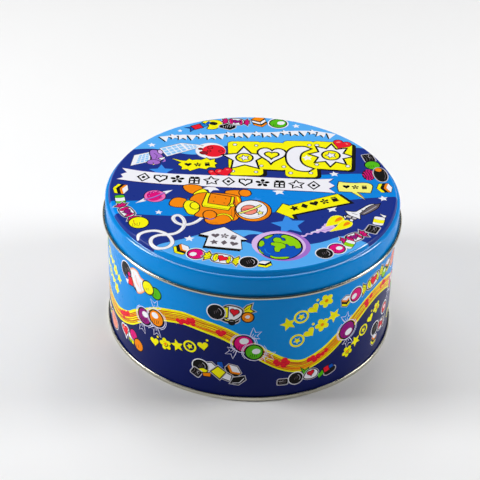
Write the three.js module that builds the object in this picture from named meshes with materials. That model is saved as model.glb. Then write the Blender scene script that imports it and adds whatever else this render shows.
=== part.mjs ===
// A round slip-lid tin of printed tinplate: a drawn lid, a rolled body and a double-seamed bottom end.
// Millimetres, +Z up. The origin is the centre of the ring that the tin stands on, and Z is the tin's axis.

import * as THREE from "three";

// ---------------------------------------------------------------- driving dimensions

const SEGMENTS = 60; // facets round the axis, the same on every piece, so that facing walls stay parallel

const LID_SHEET = 0.28; // tinplate thickness of the lid
const BODY_SHEET = 0.25; // of the body wall
const END_SHEET = 0.26; // of the bottom end

// Lid, outside surface
const LID_TOP_Z = 101.25; // the flat panel, and the tin's overall height
const LID_PANEL_R = 94.7; // where the panel and the step wall would meet in a sharp corner
const LID_PANEL_BEND = 2.0; // outside radius of that corner
const LID_FOOT_R = 95.8; // foot of the sloping step wall
const LID_FOOT_Z = 97.75;
const LID_FOOT_BEND = 0.5;
const LID_SKIRT_R = 97.9; // straight skirt
const LID_LEDGE_DROP = 0.3; // how far the narrow ledge falls between the step and the shoulder
const LID_SHOULDER_BEND = 1.7; // outside radius from the ledge into the skirt
const LID_CURL_R = 100.0; // outermost point of the rolled edge, and half the tin's width
const LID_CURL_Z = 83.4; // height of the roll's middle
const LID_CURL_END = 120; // degrees, where the roll's raw edge stops, just clear of the skirt

// Body wall
const BODY_R = 97.0; // outside of the straight wall
const RIM_ROLL = 1.15; // outside radius of the rim, rolled inwards
const RIM_TOP_Z = 97.1; // top of the rim, which the lid's ledge rests on
const RIM_END = 300; // degrees, where the rim's raw edge stops, just clear of the wall

// Double seam and bottom end
const SEAM_R = 98.4; // outside of the seam
const SEAM_HEIGHT = 3.0;
const SEAM_BEND = 0.5;
const HOOK_GAP = 0.18; // clearance between the folded layers
const BODY_HOOK_TOP_Z = 2.3;
const BODY_FOOT_Z = 0.45;
const COVER_HOOK_FOOT_Z = 1.2;
const CHUCK_WALL_TOP_Z = 4.2; // the outer ring of the bottom panel
const PANEL_Z = 3.2; // the middle of the bottom panel, one shallow step lower
const PANEL_STEP_OUTER_R = 89.0;
const PANEL_STEP_INNER_R = 86.5;
const CHUCK_BEND = 0.9;

// ---------------------------------------------------------------- bent sheet

const rad = (degrees) => (degrees * Math.PI) / 180;

// Points along an arc, from one angle to another, in the section plane (r, z).
function arc(r, z, radius, from, to, steps) {
  const points = [];
  for (let i = 0; i <= steps; i++) {
    const a = rad(from + ((to - from) * i) / steps);
    points.push([r + radius * Math.cos(a), z + radius * Math.sin(a)]);
  }
  return points;
}

// A polyline whose inner corners are rounded. Each corner is [r, z, bend radius, steps].
function bends(corners) {
  const out = [];
  corners.forEach(([r, z, radius = 0, steps = 2], i) => {
    if (!radius || i === 0 || i === corners.length - 1) {
      out.push([r, z]);
      return;
    }
    const corner = new THREE.Vector2(r, z);
    const back = new THREE.Vector2(corners[i - 1][0], corners[i - 1][1]).sub(corner).normalize();
    const on = new THREE.Vector2(corners[i + 1][0], corners[i + 1][1]).sub(corner).normalize();
    const half = Math.acos(THREE.MathUtils.clamp(back.dot(on), -1, 1)) / 2;
    const centre = corner.clone().add(back.clone().add(on).normalize().multiplyScalar(radius / Math.sin(half)));
    const reach = radius / Math.tan(half);
    const start = corner.clone().addScaledVector(back, reach).sub(centre);
    const end = corner.clone().addScaledVector(on, reach).sub(centre);
    const from = start.angle();
    let turn = end.angle() - from;
    if (turn > Math.PI) turn -= 2 * Math.PI;
    if (turn < -Math.PI) turn += 2 * Math.PI;
    for (let k = 0; k <= steps; k++) {
      const a = from + (turn * k) / steps;
      out.push([centre.x + radius * Math.cos(a), centre.y + radius * Math.sin(a)]);
    }
  });
  return out;
}

// Moves a polyline sideways, to the left of its direction, with mitred corners.
function offset(points, by) {
  return points.map((p, i) => {
    const normals = [];
    if (i > 0) normals.push([points[i - 1], p]);
    if (i < points.length - 1) normals.push([p, points[i + 1]]);
    const sides = normals.map(([a, b]) => new THREE.Vector2(a[1] - b[1], b[0] - a[0]).normalize());
    const mean = sides.reduce((s, n) => s.add(n), new THREE.Vector2()).normalize();
    return [p[0] + (mean.x * by) / mean.dot(sides[0]), p[1] + (mean.y * by) / mean.dot(sides[0])];
  });
}

// The closed section of a strip of sheet that follows a middle line.
function strip(middle, thickness) {
  const left = offset(middle, thickness / 2);
  const right = offset(middle, -thickness / 2);
  return [...left, ...right.reverse()];
}

// Turns a closed section round the axis. A section that touches the axis starts and ends on it.
function revolve(section) {
  let area = 0;
  section.forEach(([r, z], i) => {
    const [r2, z2] = section[(i + 1) % section.length];
    area += r * z2 - r2 * z;
  });
  const turned = area > 0 ? [...section] : [...section].reverse();
  const onAxis = turned.map(([r]) => Math.abs(r) < 1e-9);
  if (onAxis.some(Boolean)) {
    // start just after the step from axis to axis
    const n = turned.length;
    const first = turned.findIndex((_, i) => onAxis[i] && onAxis[(i + n - 1) % n]);
    turned.push(...turned.splice(0, first));
  } else {
    turned.push(turned[0]);
  }
  const geometry = new THREE.LatheGeometry(
    turned.map(([r, z]) => new THREE.Vector2(Math.abs(r) < 1e-9 ? 0 : r, z)),
    SEGMENTS,
  );
  geometry.rotateX(Math.PI / 2);
  return geometry;
}

// ---------------------------------------------------------------- lid

function lidSection() {
  const t = LID_SHEET / 2;
  const curl = LID_CURL_R - LID_SKIRT_R + LID_SHEET; // the roll's full width, with the skirt's own sheet in it
  const rollR = LID_CURL_R - curl / 2;
  // middle of the sheet, from the axis outwards and down
  const outside = bends([
    [0, LID_TOP_Z],
    [LID_PANEL_R, LID_TOP_Z, LID_PANEL_BEND, 3],
    [LID_FOOT_R, LID_FOOT_Z, LID_FOOT_BEND, 1],
    [LID_SKIRT_R, LID_FOOT_Z - LID_LEDGE_DROP, LID_SHOULDER_BEND, 3],
    [LID_SKIRT_R, LID_CURL_Z],
  ]);
  const middle = offset(outside, -t);
  middle[0][0] = 0;
  middle.pop();
  middle.push(...arc(rollR, LID_CURL_Z, curl / 2 - t, 180, 360 + LID_CURL_END, 8));
  const section = strip(middle, LID_SHEET);
  section[0][0] = 0;
  section[section.length - 1][0] = 0;
  return section;
}

// ---------------------------------------------------------------- body wall

function bodySection() {
  const t = BODY_SHEET / 2;
  const wallR = BODY_R - t;
  const hookR = SEAM_R - END_SHEET - HOOK_GAP - t;
  const turn = (hookR - wallR) / 2;
  const middle = [
    [hookR, BODY_HOOK_TOP_Z],
    ...arc(wallR + turn, BODY_FOOT_Z + t + turn, turn, 0, -180, 4),
    ...arc(BODY_R - RIM_ROLL, RIM_TOP_Z - RIM_ROLL, RIM_ROLL - t, 0, RIM_END, 8),
  ];
  return strip(middle, BODY_SHEET);
}

// ---------------------------------------------------------------- bottom end

function bottomSection() {
  const t = END_SHEET / 2;
  const chuckR = BODY_R - BODY_SHEET - HOOK_GAP - t;
  const outerR = SEAM_R - t;
  const coverR = SEAM_R - END_SHEET - 2 * HOOK_GAP - BODY_SHEET - t;
  const turn = (outerR - coverR) / 2;
  const middle = bends([
    [0, PANEL_Z + t],
    [PANEL_STEP_INNER_R, PANEL_Z + t],
    [PANEL_STEP_OUTER_R, CHUCK_WALL_TOP_Z + t],
    [chuckR, CHUCK_WALL_TOP_Z + t, CHUCK_BEND, 2],
    [chuckR, t, SEAM_BEND, 2],
    [outerR, t, SEAM_BEND, 2],
    [outerR, SEAM_HEIGHT - t - turn],
  ]);
  middle.pop();
  middle.push(...arc(coverR + turn, SEAM_HEIGHT - t - turn, turn, 0, 180, 4), [coverR, COVER_HOOK_FOOT_Z]);
  const section = strip(middle, END_SHEET);
  section[0][0] = 0;
  section[section.length - 1][0] = 0;
  return section;
}

// ---------------------------------------------------------------- assembly

const printedBlue = new THREE.MeshStandardMaterial({ color: 0x2f8fe0, roughness: 0.3, metalness: 0.1 });
const printedNavy = new THREE.MeshStandardMaterial({ color: 0x14255f, roughness: 0.3, metalness: 0.1 });
const tinplate = new THREE.MeshStandardMaterial({ color: 0xb4b0a4, roughness: 0.35, metalness: 1.0 });

const tin = new THREE.Group();

function add(name, section, material) {
  const mesh = new THREE.Mesh(revolve(section), material);
  mesh.name = name;
  tin.add(mesh);
  return mesh;
}

add("body", bodySection(), printedNavy);
add("bottom", bottomSection(), tinplate);
add("lid", lidSection(), printedBlue);

export default tin;
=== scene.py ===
import json
import math
import random

import bpy
import numpy as np
from mathutils import Matrix, Vector
from mathutils.geometry import delaunay_2d_cdt


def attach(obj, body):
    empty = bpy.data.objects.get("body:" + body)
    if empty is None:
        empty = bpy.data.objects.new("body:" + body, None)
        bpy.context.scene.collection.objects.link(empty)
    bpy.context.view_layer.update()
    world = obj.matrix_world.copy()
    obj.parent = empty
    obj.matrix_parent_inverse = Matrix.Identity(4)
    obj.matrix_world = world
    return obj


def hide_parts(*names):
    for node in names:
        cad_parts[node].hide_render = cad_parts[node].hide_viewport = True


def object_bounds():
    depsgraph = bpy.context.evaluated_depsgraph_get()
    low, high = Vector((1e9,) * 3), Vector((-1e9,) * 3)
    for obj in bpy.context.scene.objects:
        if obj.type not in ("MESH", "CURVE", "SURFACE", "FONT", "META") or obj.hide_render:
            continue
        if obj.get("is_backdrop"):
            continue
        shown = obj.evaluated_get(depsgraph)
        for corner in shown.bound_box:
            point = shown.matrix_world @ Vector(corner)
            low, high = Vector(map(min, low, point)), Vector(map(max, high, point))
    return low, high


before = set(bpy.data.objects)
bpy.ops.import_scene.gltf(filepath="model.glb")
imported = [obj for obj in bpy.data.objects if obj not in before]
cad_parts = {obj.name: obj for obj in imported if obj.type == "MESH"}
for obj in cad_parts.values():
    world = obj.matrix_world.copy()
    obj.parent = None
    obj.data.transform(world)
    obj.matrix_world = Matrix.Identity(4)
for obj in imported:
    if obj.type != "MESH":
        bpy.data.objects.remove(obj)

CAD_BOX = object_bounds()
MM = 0.001
TAU = 2 * math.pi

# ------------------------------------------------------------------ camera

cam_data = bpy.data.cameras.new("camera")
cam_data.sensor_fit = "HORIZONTAL"
cam_data.sensor_width = 36.0
cam_data.lens = 105.4
cam_data.clip_start = 0.05
cam_data.clip_end = 50.0
camera = bpy.data.objects.new("camera", cam_data)
bpy.context.scene.collection.objects.link(camera)
_f = Vector((-0.007967, 0.824327, -0.566057)).normalized()
_r = Vector((0.999357, 0.026348, 0.024304)).normalized()
_u = _r.cross(_f)
_r = _f.cross(_u)
camera.matrix_world = Matrix((
    (_r.x, _u.x, -_f.x, 0.0),
    (_r.y, _u.y, -_f.y, -0.787849),
    (_r.z, _u.z, -_f.z, 0.599515),
    (0, 0, 0, 1),
))
bpy.context.scene.camera = camera

# ------------------------------------------------------------------ sizes, millimetres, as in the CAD

LID_SHEET, BODY_SHEET, END_SHEET = 0.28, 0.25, 0.26
LID_TOP_Z = 101.25
LID_PANEL_R, LID_PANEL_BEND = 94.7, 2.0
LID_FOOT_R, LID_FOOT_Z, LID_FOOT_BEND = 95.8, 97.75, 0.5
LID_SKIRT_R, LID_LEDGE_DROP, LID_SHOULDER_BEND = 97.9, 0.3, 1.7
LID_CURL_R, LID_CURL_Z, LID_CURL_END = 100.0, 83.4, 120
BODY_R, RIM_ROLL, RIM_TOP_Z, RIM_END = 97.0, 1.15, 97.1, 300
SEAM_R, SEAM_HEIGHT, SEAM_BEND, HOOK_GAP = 98.4, 3.0, 0.5, 0.18
BODY_HOOK_TOP_Z, BODY_FOOT_Z, COVER_HOOK_FOOT_Z = 2.3, 0.45, 1.2
CHUCK_WALL_TOP_Z, PANEL_Z = 4.2, 3.2
PANEL_STEP_OUTER_R, PANEL_STEP_INNER_R, CHUCK_BEND = 89.0, 86.5, 0.9

# ------------------------------------------------------------------ inks and metals


def srgb(r, g, b):
    lin = lambda c: c / 12.92 if c <= 0.04045 else ((c + 0.055) / 1.055) ** 2.4
    return (lin(r / 255), lin(g / 255), lin(b / 255), 1.0)


def new_material(name):
    m = bpy.data.materials.new(name)
    m.use_nodes = True
    nt = m.node_tree
    nt.nodes.clear()
    out = nt.nodes.new("ShaderNodeOutputMaterial")
    p = nt.nodes.new("ShaderNodeBsdfPrincipled")
    nt.links.new(p.outputs[0], out.inputs["Surface"])
    return m, nt, p


def noise(nt, vec, scale, detail=3.0, rough=0.5):
    n = nt.nodes.new("ShaderNodeTexNoise")
    n.inputs["Scale"].default_value = scale
    n.inputs["Detail"].default_value = detail
    n.inputs["Roughness"].default_value = rough
    nt.links.new(vec, n.inputs["Vector"])
    return n.outputs["Fac"]


def ramp(nt, fac, lo, hi, out_lo, out_hi):
    n = nt.nodes.new("ShaderNodeMapRange")
    n.inputs["From Min"].default_value = lo
    n.inputs["From Max"].default_value = hi
    n.inputs["To Min"].default_value = out_lo
    n.inputs["To Max"].default_value = out_hi
    nt.links.new(fac, n.inputs["Value"])
    return n.outputs[0]


def maths(nt, op, a, b):
    n = nt.nodes.new("ShaderNodeMath")
    n.operation = op
    for i, v in enumerate((a, b)):
        if isinstance(v, (int, float)):
            n.inputs[i].default_value = v
        else:
            nt.links.new(v, n.inputs[i])
    return n.outputs[0]


def ink(name, rgb, gloss=0.30, varnish=0.30, index=1.5):
    """Printing ink under a stoving varnish: a plain colour whose gloss and surface vary as a roller-coated sheet's do."""
    m, nt, p = new_material(name)
    p.inputs["Base Color"].default_value = srgb(*rgb)
    p.inputs["IOR"].default_value = 1.5
    p.inputs["Specular IOR Level"].default_value = 0.02
    p.inputs["Coat Weight"].default_value = varnish
    p.inputs["Coat Roughness"].default_value = 0.09
    p.inputs["Coat IOR"].default_value = index
    pos = nt.nodes.new("ShaderNodeTexCoord").outputs["Object"]
    cloud = noise(nt, pos, 38.0, 3.0, 0.6)
    smudge = noise(nt, pos, 240.0, 4.0, 0.6)
    r = maths(nt, "ADD", ramp(nt, cloud, 0.3, 0.7, gloss - 0.05, gloss + 0.05), ramp(nt, smudge, 0.35, 0.65, -0.03, 0.03))
    nt.links.new(r, p.inputs["Roughness"])
    peel = noise(nt, pos, 900.0, 2.0, 0.5)
    wave = noise(nt, pos, 60.0, 2.0, 0.5)
    h = maths(nt, "ADD", maths(nt, "MULTIPLY", peel, 0.05), wave)
    b = nt.nodes.new("ShaderNodeBump")
    b.inputs["Strength"].default_value = 0.35
    b.inputs["Distance"].default_value = 0.00004
    nt.links.new(h, b.inputs["Height"])
    nt.links.new(b.outputs[0], p.inputs["Normal"])
    nt.links.new(b.outputs[0], p.inputs["Coat Normal"])
    return m


def round_the_axis(nt, along, across):
    """Coordinates that follow a turned or rolled edge: drawn out along the ring, fine across it."""
    pos = nt.nodes.new("ShaderNodeTexCoord").outputs["Object"]
    xyz = nt.nodes.new("ShaderNodeSeparateXYZ")
    nt.links.new(pos, xyz.inputs[0])
    turn = maths(nt, "MULTIPLY", maths(nt, "ARCTAN2", xyz.outputs[1], xyz.outputs[0]), 0.1 * along)
    flat = nt.nodes.new("ShaderNodeCombineXYZ")
    nt.links.new(xyz.outputs[0], flat.inputs[0])
    nt.links.new(xyz.outputs[1], flat.inputs[1])
    size = nt.nodes.new("ShaderNodeVectorMath")
    size.operation = "LENGTH"
    nt.links.new(flat.outputs[0], size.inputs[0])
    out = nt.nodes.new("ShaderNodeCombineXYZ")
    nt.links.new(turn, out.inputs[0])
    nt.links.new(maths(nt, "MULTIPLY", size.outputs["Value"], across), out.inputs[1])
    nt.links.new(maths(nt, "MULTIPLY", xyz.outputs[2], across), out.inputs[2])
    return out.outputs[0]


def tinplate(name, rgb, rough, ring=True, depth=0.000004):
    """Bare tinplate: bright, with a fine grain that follows the rolled edge, and duller handled patches."""
    m, nt, p = new_material(name)
    p.inputs["Base Color"].default_value = srgb(*rgb)
    p.inputs["Metallic"].default_value = 1.0
    pos = nt.nodes.new("ShaderNodeTexCoord").outputs["Object"]
    if ring:
        vec = round_the_axis(nt, 0.02, 1.0)
    else:
        mapping = nt.nodes.new("ShaderNodeMapping")
        mapping.inputs["Scale"].default_value = (1.0, 0.08, 1.0)
        nt.links.new(pos, mapping.inputs["Vector"])
        vec = mapping.outputs[0]
    grain = noise(nt, vec, 1500.0, 3.0, 0.6)
    patch = noise(nt, pos, 45.0, 4.0, 0.6)
    r = maths(nt, "ADD", ramp(nt, patch, 0.35, 0.7, rough - 0.05, rough + 0.08), ramp(nt, grain, 0.3, 0.7, -0.05, 0.05))
    nt.links.new(r, p.inputs["Roughness"])
    b = nt.nodes.new("ShaderNodeBump")
    b.inputs["Strength"].default_value = 0.35
    b.inputs["Distance"].default_value = depth
    nt.links.new(grain, b.inputs["Height"])
    nt.links.new(b.outputs[0], p.inputs["Normal"])
    return m


INKS = {
    "sky": (84, 174, 247), "mid": (0, 134, 226), "coat": (0, 141, 224), "navy": (24, 48, 138), "bodynavy": (12, 25, 92),
    "starblue": (56, 144, 236), "white": (243, 243, 250), "black": (16, 15, 15), "yellow": (253, 246, 0),
    "paleyellow": (252, 247, 122), "red": (238, 22, 46), "darkred": (150, 20, 40), "blush": (250, 130, 120),
    "orange": (250, 139, 0), "ochre": (206, 112, 8), "rust": (206, 74, 22), "magenta": (226, 4, 122), "plum": (150, 10, 122),
    "pink": (243, 112, 186), "salmon": (246, 146, 124), "green": (84, 190, 16), "lime": (148, 214, 0),
    "seablue": (0, 84, 192), "lilac": (220, 186, 238), "purple": (166, 112, 208), "panelblue": (146, 204, 250),
    "grey": (104, 94, 102), "silver": (196, 192, 200), "peach": (250, 214, 186), "mist": (226, 224, 250),
}
INK_ORDER = list(INKS)
INK_MATS = {k: ink("ink_" + k, v, 0.34 if k in ("black", "navy", "bodynavy") else 0.30, 0.34, 1.3) for k, v in INKS.items()}
TOP_MATS = {k: ink("top_ink_" + k, v, 0.34 if k in ("black", "navy", "bodynavy") else 0.30, 1.0, 1.7) for k, v in INKS.items()}
METAL = tinplate("tinplate_rolled_edge", (190, 186, 171), 0.20)
METAL_IN = tinplate("tinplate_inside", (206, 202, 192), 0.34, False)
METAL_CUT = tinplate("tinplate_cut_edge", (150, 146, 138), 0.42)

# ------------------------------------------------------------------ flat shapes for the printing


def A(*pts):
    return np.array(pts, float).reshape(-1, 2)


def area(p):
    q = np.roll(p, -1, 0)
    return 0.5 * float(np.sum(p[:, 0] * q[:, 1] - q[:, 0] * p[:, 1]))


def grow(p, d):
    """A closed outline moved outwards by d, with mitres held short."""
    s = 1.0 if area(p) > 0 else -1.0
    a, b = np.roll(p, 1, 0), np.roll(p, -1, 0)
    e1, e2 = p - a, b - p
    e1 /= np.maximum(np.linalg.norm(e1, axis=1), 1e-9)[:, None]
    e2 /= np.maximum(np.linalg.norm(e2, axis=1), 1e-9)[:, None]
    n1 = np.stack([e1[:, 1], -e1[:, 0]], 1) * s
    n2 = np.stack([e2[:, 1], -e2[:, 0]], 1) * s
    m = (n1 + n2) / np.maximum(1 + np.sum(n1 * n2, 1), 0.15)[:, None]
    k = np.linalg.norm(m, axis=1)
    m *= np.minimum(1, 2.0 / np.maximum(k, 1e-9))[:, None]
    return p + m * d


def spline(pts, closed=True, step=1.0):
    """A smooth curve through points. A point with a third number is a corner."""
    P = [tuple(map(float, q[:2])) for q in pts]
    corner = [len(q) > 2 for q in pts]
    n = len(P)
    out = []
    for i in range(n if closed else n - 1):
        p1, p2 = np.array(P[i]), np.array(P[(i + 1) % n])
        c1, c2 = corner[i], corner[(i + 1) % n]
        p0 = np.array(P[(i - 1) % n]) if (closed or i > 0) and not c1 else p1 - (p2 - p1)
        p3 = np.array(P[(i + 2) % n]) if (closed or i < n - 2) and not c2 else p2 + (p2 - p1)
        if c1 and c2:
            out.append(p1)
            continue
        L = float(np.linalg.norm(p2 - p1))
        k = max(2, int(round(L / step)))
        k = min(k, 14)
        for j in range(k):
            t = j / k
            out.append(0.5 * ((2 * p1) + (p2 - p0) * t + (2 * p0 - 5 * p1 + 4 * p2 - p3) * t * t + (3 * p1 - p0 - 3 * p2 + p3) * t ** 3))
    if not closed:
        out.append(np.array(P[-1]))
    return np.array(out)


def turned(p, deg, at=(0, 0)):
    c, s = math.cos(math.radians(deg)), math.sin(math.radians(deg))
    q = p - np.array(at)
    return np.stack([q[:, 0] * c - q[:, 1] * s, q[:, 0] * s + q[:, 1] * c], 1) + np.array(at)


def oval(x, y, rx, ry=None, rot=0, fine=0.02):
    ry = ry or rx
    r = max(rx, ry)
    n = int(max(12, math.ceil(math.pi / math.acos(1 - min(fine / r, 0.5)))))
    t = np.arange(n) * TAU / n
    return turned(np.stack([rx * np.cos(t), ry * np.sin(t)], 1), rot) + (x, y)


def star(x, y, R, rot=0, inner=0.45, n=5):
    t = math.radians(90 + rot) + np.arange(2 * n) * math.pi / n
    r = np.where(np.arange(2 * n) % 2 == 0, R, R * inner)
    return np.stack([x + r * np.cos(t), y + r * np.sin(t)], 1)


def heart(x, y, w, rot=0, tall=1.0):
    t = np.linspace(0, TAU, 30, endpoint=False)
    px = 16 * np.sin(t) ** 3 / 32
    py = (13 * np.cos(t) - 5 * np.cos(2 * t) - 2 * np.cos(3 * t) - np.cos(4 * t)) / 32 * tall + 0.06
    return turned(np.stack([px, py], 1) * w, rot) + (x, y)


def rrect(x, y, w, h, r, rot=0):
    pts = []
    for cx, cy, a0 in ((w / 2 - r, h / 2 - r, 0), (-w / 2 + r, h / 2 - r, 90), (-w / 2 + r, -h / 2 + r, 180), (w / 2 - r, -h / 2 + r, 270)):
        for k in range(5):
            a = math.radians(a0 + k * 22.5)
            pts.append((cx + r * math.cos(a), cy + r * math.sin(a)))
    return turned(np.array(pts), rot) + (x, y)


def line(pts, w, closed=False, smooth=True, step=1.0, taper=None):
    """A stroke of width w along a line, with round ends. taper(t) scales the width."""
    c = spline(pts, closed, step) if smooth else np.array([q[:2] for q in pts], float)
    keep = np.ones(len(c), bool)
    keep[1:] = np.linalg.norm(np.diff(c, axis=0), axis=1) > 1e-6
    c = c[keep]
    if closed:
        d = np.roll(c, -1, 0) - np.roll(c, 1, 0)
    else:
        d = np.gradient(c, axis=0)
    d /= np.maximum(np.linalg.norm(d, axis=1), 1e-9)[:, None]
    n = np.stack([-d[:, 1], d[:, 0]], 1)
    ts = np.linspace(0, 1, len(c))
    h = np.array([w / 2 * (taper(t) if taper else 1.0) for t in ts])[:, None]
    left, right = c + n * h, c - n * h
    if closed:
        return [left, right[::-1]]
    caps = []
    for at, dirn, hw in ((c[-1], d[-1], float(h[-1, 0])), (c[0], -d[0], float(h[0, 0]))):
        a0 = math.atan2(dirn[1], dirn[0])
        k = 4 if hw < 0.5 else 6
        caps.append([at + hw * np.array([math.cos(a0 + math.pi / 2 - j * math.pi / k), math.sin(a0 + math.pi / 2 - j * math.pi / k)]) for j in range(1, k)])
    return np.array([*left, *caps[0], *right[::-1], *caps[1]])


class Art:
    """Layers of inked outlines in one flat plane; later ones lie on top."""

    def __init__(self):
        self.shapes = []

    def add(self, colour, pts, clip=None):
        if isinstance(pts, list):  # a closed stroke: two rings, one inside the other
            self.shapes.append((colour, pts, clip))
        else:
            self.shapes.append((colour, [pts], clip))

    def parts(self, parts, x=0.0, y=0.0, rot=0.0, s=1.0, flip=False):
        for colour, pts in parts:
            rings = pts if isinstance(pts, list) else [pts]
            done = []
            for r in rings:
                q = r * (-1 if flip else 1, 1) * s
                done.append(turned(q, rot) + (x, y))
            self.shapes.append((colour, done, None))


def inked(colour, pts, edge=0.42, edge_ink="black"):
    return [(edge_ink, grow(pts, edge * (1.65 if edge_ink == "black" else 1.0))), (colour, pts)]


def halo(parts, d, colour="white"):
    out = []
    for _, p in parts:
        if not isinstance(p, list):
            out.append((colour, grow(p, d)))
    return out + parts

# ------------------------------------------------------------------ generic sweets and ornaments, drawn about their own middle


def scratch(x, y, w, h, n, rot=0, colour="black", wide=0.28, seed=1):
    rng = random.Random(seed)
    out = []
    for i in range(n):
        cx = -w / 2 + w * (i + 0.5) / n + rng.uniform(-0.1, 0.1) * w / n
        l = h * rng.uniform(0.55, 1.0)
        p = line([(cx - 0.12 * h, -l / 2), (cx + 0.03 * h, 0), (cx + 0.16 * h, l / 2)], wide, step=0.6)
        out.append((colour, turned(p, rot) + (x, y)))
    return out


def ball(colour, r, light=(0.25, 0.25, 0.42), marks=3, seed=1, edge=0.5):
    parts = inked(colour, oval(0, 0, r), edge)
    parts += scratch(-0.25 * r, -0.35 * r, r * 1.0, r * 0.55, marks, 20, "black" if colour != "black" else "grey", 0.26, seed)
    if light:
        parts.append(("white", oval(light[0] * r, light[1] * r, light[2] * r, light[2] * r * 0.86, 30)))
    return parts


def black_ball(r, seed=1):
    parts = [("silver", oval(0, 0, r + 0.75)), ("white", oval(-0.15, 0.25, r + 0.45)), ("black", oval(0, 0, r))]
    parts.append(("silver", line([(r * 0.62 * math.cos(a), r * 0.62 * math.sin(a)) for a in np.linspace(-0.6, 1.1, 6)], 0.34, step=0.6)))
    parts += scratch(0.0, 0.05 * r, r * 0.7, r * 0.5, 3, 35, "grey", 0.3, seed)
    return parts


def allsort(layers=("orange", "black", "yellow"), top="white", w=8.0, d=4.6, heights=(1.5, 1.9, 1.6)):
    """A sandwich sweet: a lozenge top with chevron layers under it."""
    l, f, r, b = A(-w / 2, 0.4), A(0.3, -d / 2), A(w / 2, 0.2), A(-0.2, d / 2)
    outer = [(-w / 2, 0.4), (0.3, -d / 2), (w / 2, 0.2)]
    total = sum(heights)
    body = np.array([(-w / 2, 0.4), (-0.2, d / 2), (w / 2, 0.2), (w / 2, 0.2 - total), (0.3, -d / 2 - total), (-w / 2, 0.4 - total)])
    parts = [("black", grow(body, 0.45))]
    h = 0.0
    for colour, k in zip(layers, heights):
        strip = [(x, y - h) for x, y in outer] + [(x, y - h - k) for x, y in reversed(outer)]
        parts.append((colour, np.array(strip)))
        h += k
    parts.append((top, np.array([*outer, (-0.2, d / 2)])))
    parts.append(("black", line([outer[1], (outer[1][0], outer[1][1] - total)], 0.22, smooth=False)))
    return [(c, p + (0, total / 2)) for c, p in parts]


def wrapped(body="white", stripe="magenta", fan="magenta", accent="plum", length=20.0, tall=8.6):
    """A sweet in twisted paper."""
    L, h = length / 2, tall / 2
    parts = []
    for s in (-1, 1):
        f = np.array([(0.50 * L, 0.16 * h), (0.70 * L, 0.62 * h), (0.80 * L, 1.0 * h), (0.86 * L, 0.62 * h), (0.98 * L, 0.55 * h), (0.90 * L, 0.12 * h),
                      (1.0 * L, -0.22 * h), (0.88 * L, -0.42 * h), (0.86 * L, -0.92 * h), (0.72 * L, -0.6 * h), (0.50 * L, -0.16 * h)]) * (s, 1)
        parts += inked(fan, f, 0.4)
        for a, b in ((0.62, 0.50), (0.70, 0.02), (0.64, -0.44)):
            parts.append(("black" if fan != "white" else "grey", line([(0.55 * L * s, 0.1 * h * b), (0.86 * L * s, h * b)], 0.3, smooth=False)))
    core = spline([(-0.56 * L, 0), (-0.42 * L, 0.82 * h), (0, 0.98 * h), (0.42 * L, 0.82 * h), (0.56 * L, 0), (0.42 * L, -0.82 * h), (0, -0.98 * h), (-0.42 * L, -0.82 * h)], step=0.8)
    parts += inked(body, core, 0.42)
    for cx, rx in ((-0.34, 0.13), (0.36, 0.10)):
        parts += inked(stripe, oval(cx * L, 0, rx * L, 0.78 * h, 6), 0.28)
        parts.append(("black", line([(cx * L, 0.45 * h), (cx * L + 0.15, -0.4 * h)], 0.3, smooth=False)))
    if accent:
        parts += inked(accent, heart(0.01 * L, 0, 0.54 * L, -14), 0.28)
    return parts


def cellophane(colour, r=5.5, light=(-0.1, 0.35), bows=(75, 250)):
    """A round sweet in clear film: a coloured ball inside fine white lines and two crumpled ends."""
    parts = []
    for a in bows:
        bow = [(r + 1.2, -0.7), (r + 3.6, -3.6), (r + 3.9, -1.4), (r + 7.2, -1.2), (r + 5.0, 0.6), (r + 6.4, 3.4), (r + 3.6, 2.2), (r + 1.2, 0.8)]
        bow = [(r + 1.2 + 1.3 * (x - r - 1.2), 1.3 * y) for x, y in bow]
        parts.append(("mist", turned(line([(*q, 1) for q in bow], 0.55, smooth=False), a)))
        parts.append(("mist", turned(line([(r + 1.8, 0.1), (r + 4.4, 1.0)], 0.34, smooth=False), a)))
        parts.append(("mist", turned(line([(r + 2.0, -0.8), (r + 4.8, -0.7)], 0.3, smooth=False), a)))
    ring = line([((r + 1.9) * math.cos(t), (r + 1.6) * math.sin(t)) for t in np.linspace(0, TAU, 14)[:-1]], 0.55, closed=True)
    parts.append(("mist", ring))
    for t0, t1, k in ((-1.1, 0.7, 2.9), (2.2, 3.9, 2.7)):
        parts.append(("mist", line([((r + k) * math.cos(t), (r + k - 0.15) * math.sin(t)) for t in np.linspace(t0, t1, 7)], 0.38)))
    parts += inked(colour, oval(0, 0, r, r * 1.04), 0.55)
    parts += scratch(-0.1 * r, -0.55 * r, r * 1.1, r * 0.6, 4, 10, "black", 0.36, int(r * 10))
    parts.append(("white", oval(light[0] * r, light[1] * r, 0.52 * r, 0.42 * r, 12)))
    return parts


def liquorice(w=7.4, h=9.5):
    parts = [("silver", rrect(0, 0, w + 1.3, h + 1.3, 1.6)), ("black", rrect(0, 0, w, h, 1.2))]
    for dx in (-0.28, 0.0, 0.26):
        parts.append(("grey", line([(dx * w - 0.5, 0.36 * h), (dx * w + 0.4, 0.0), (dx * w - 0.2, -0.34 * h)], 0.34, step=1.2)))
    parts.append(("silver", line([(0.16 * w, 0.40 * h), (0.05 * w, 0.12 * h), (0.22 * w, -0.05 * h)], 0.3, step=1.0)))
    return parts


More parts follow.
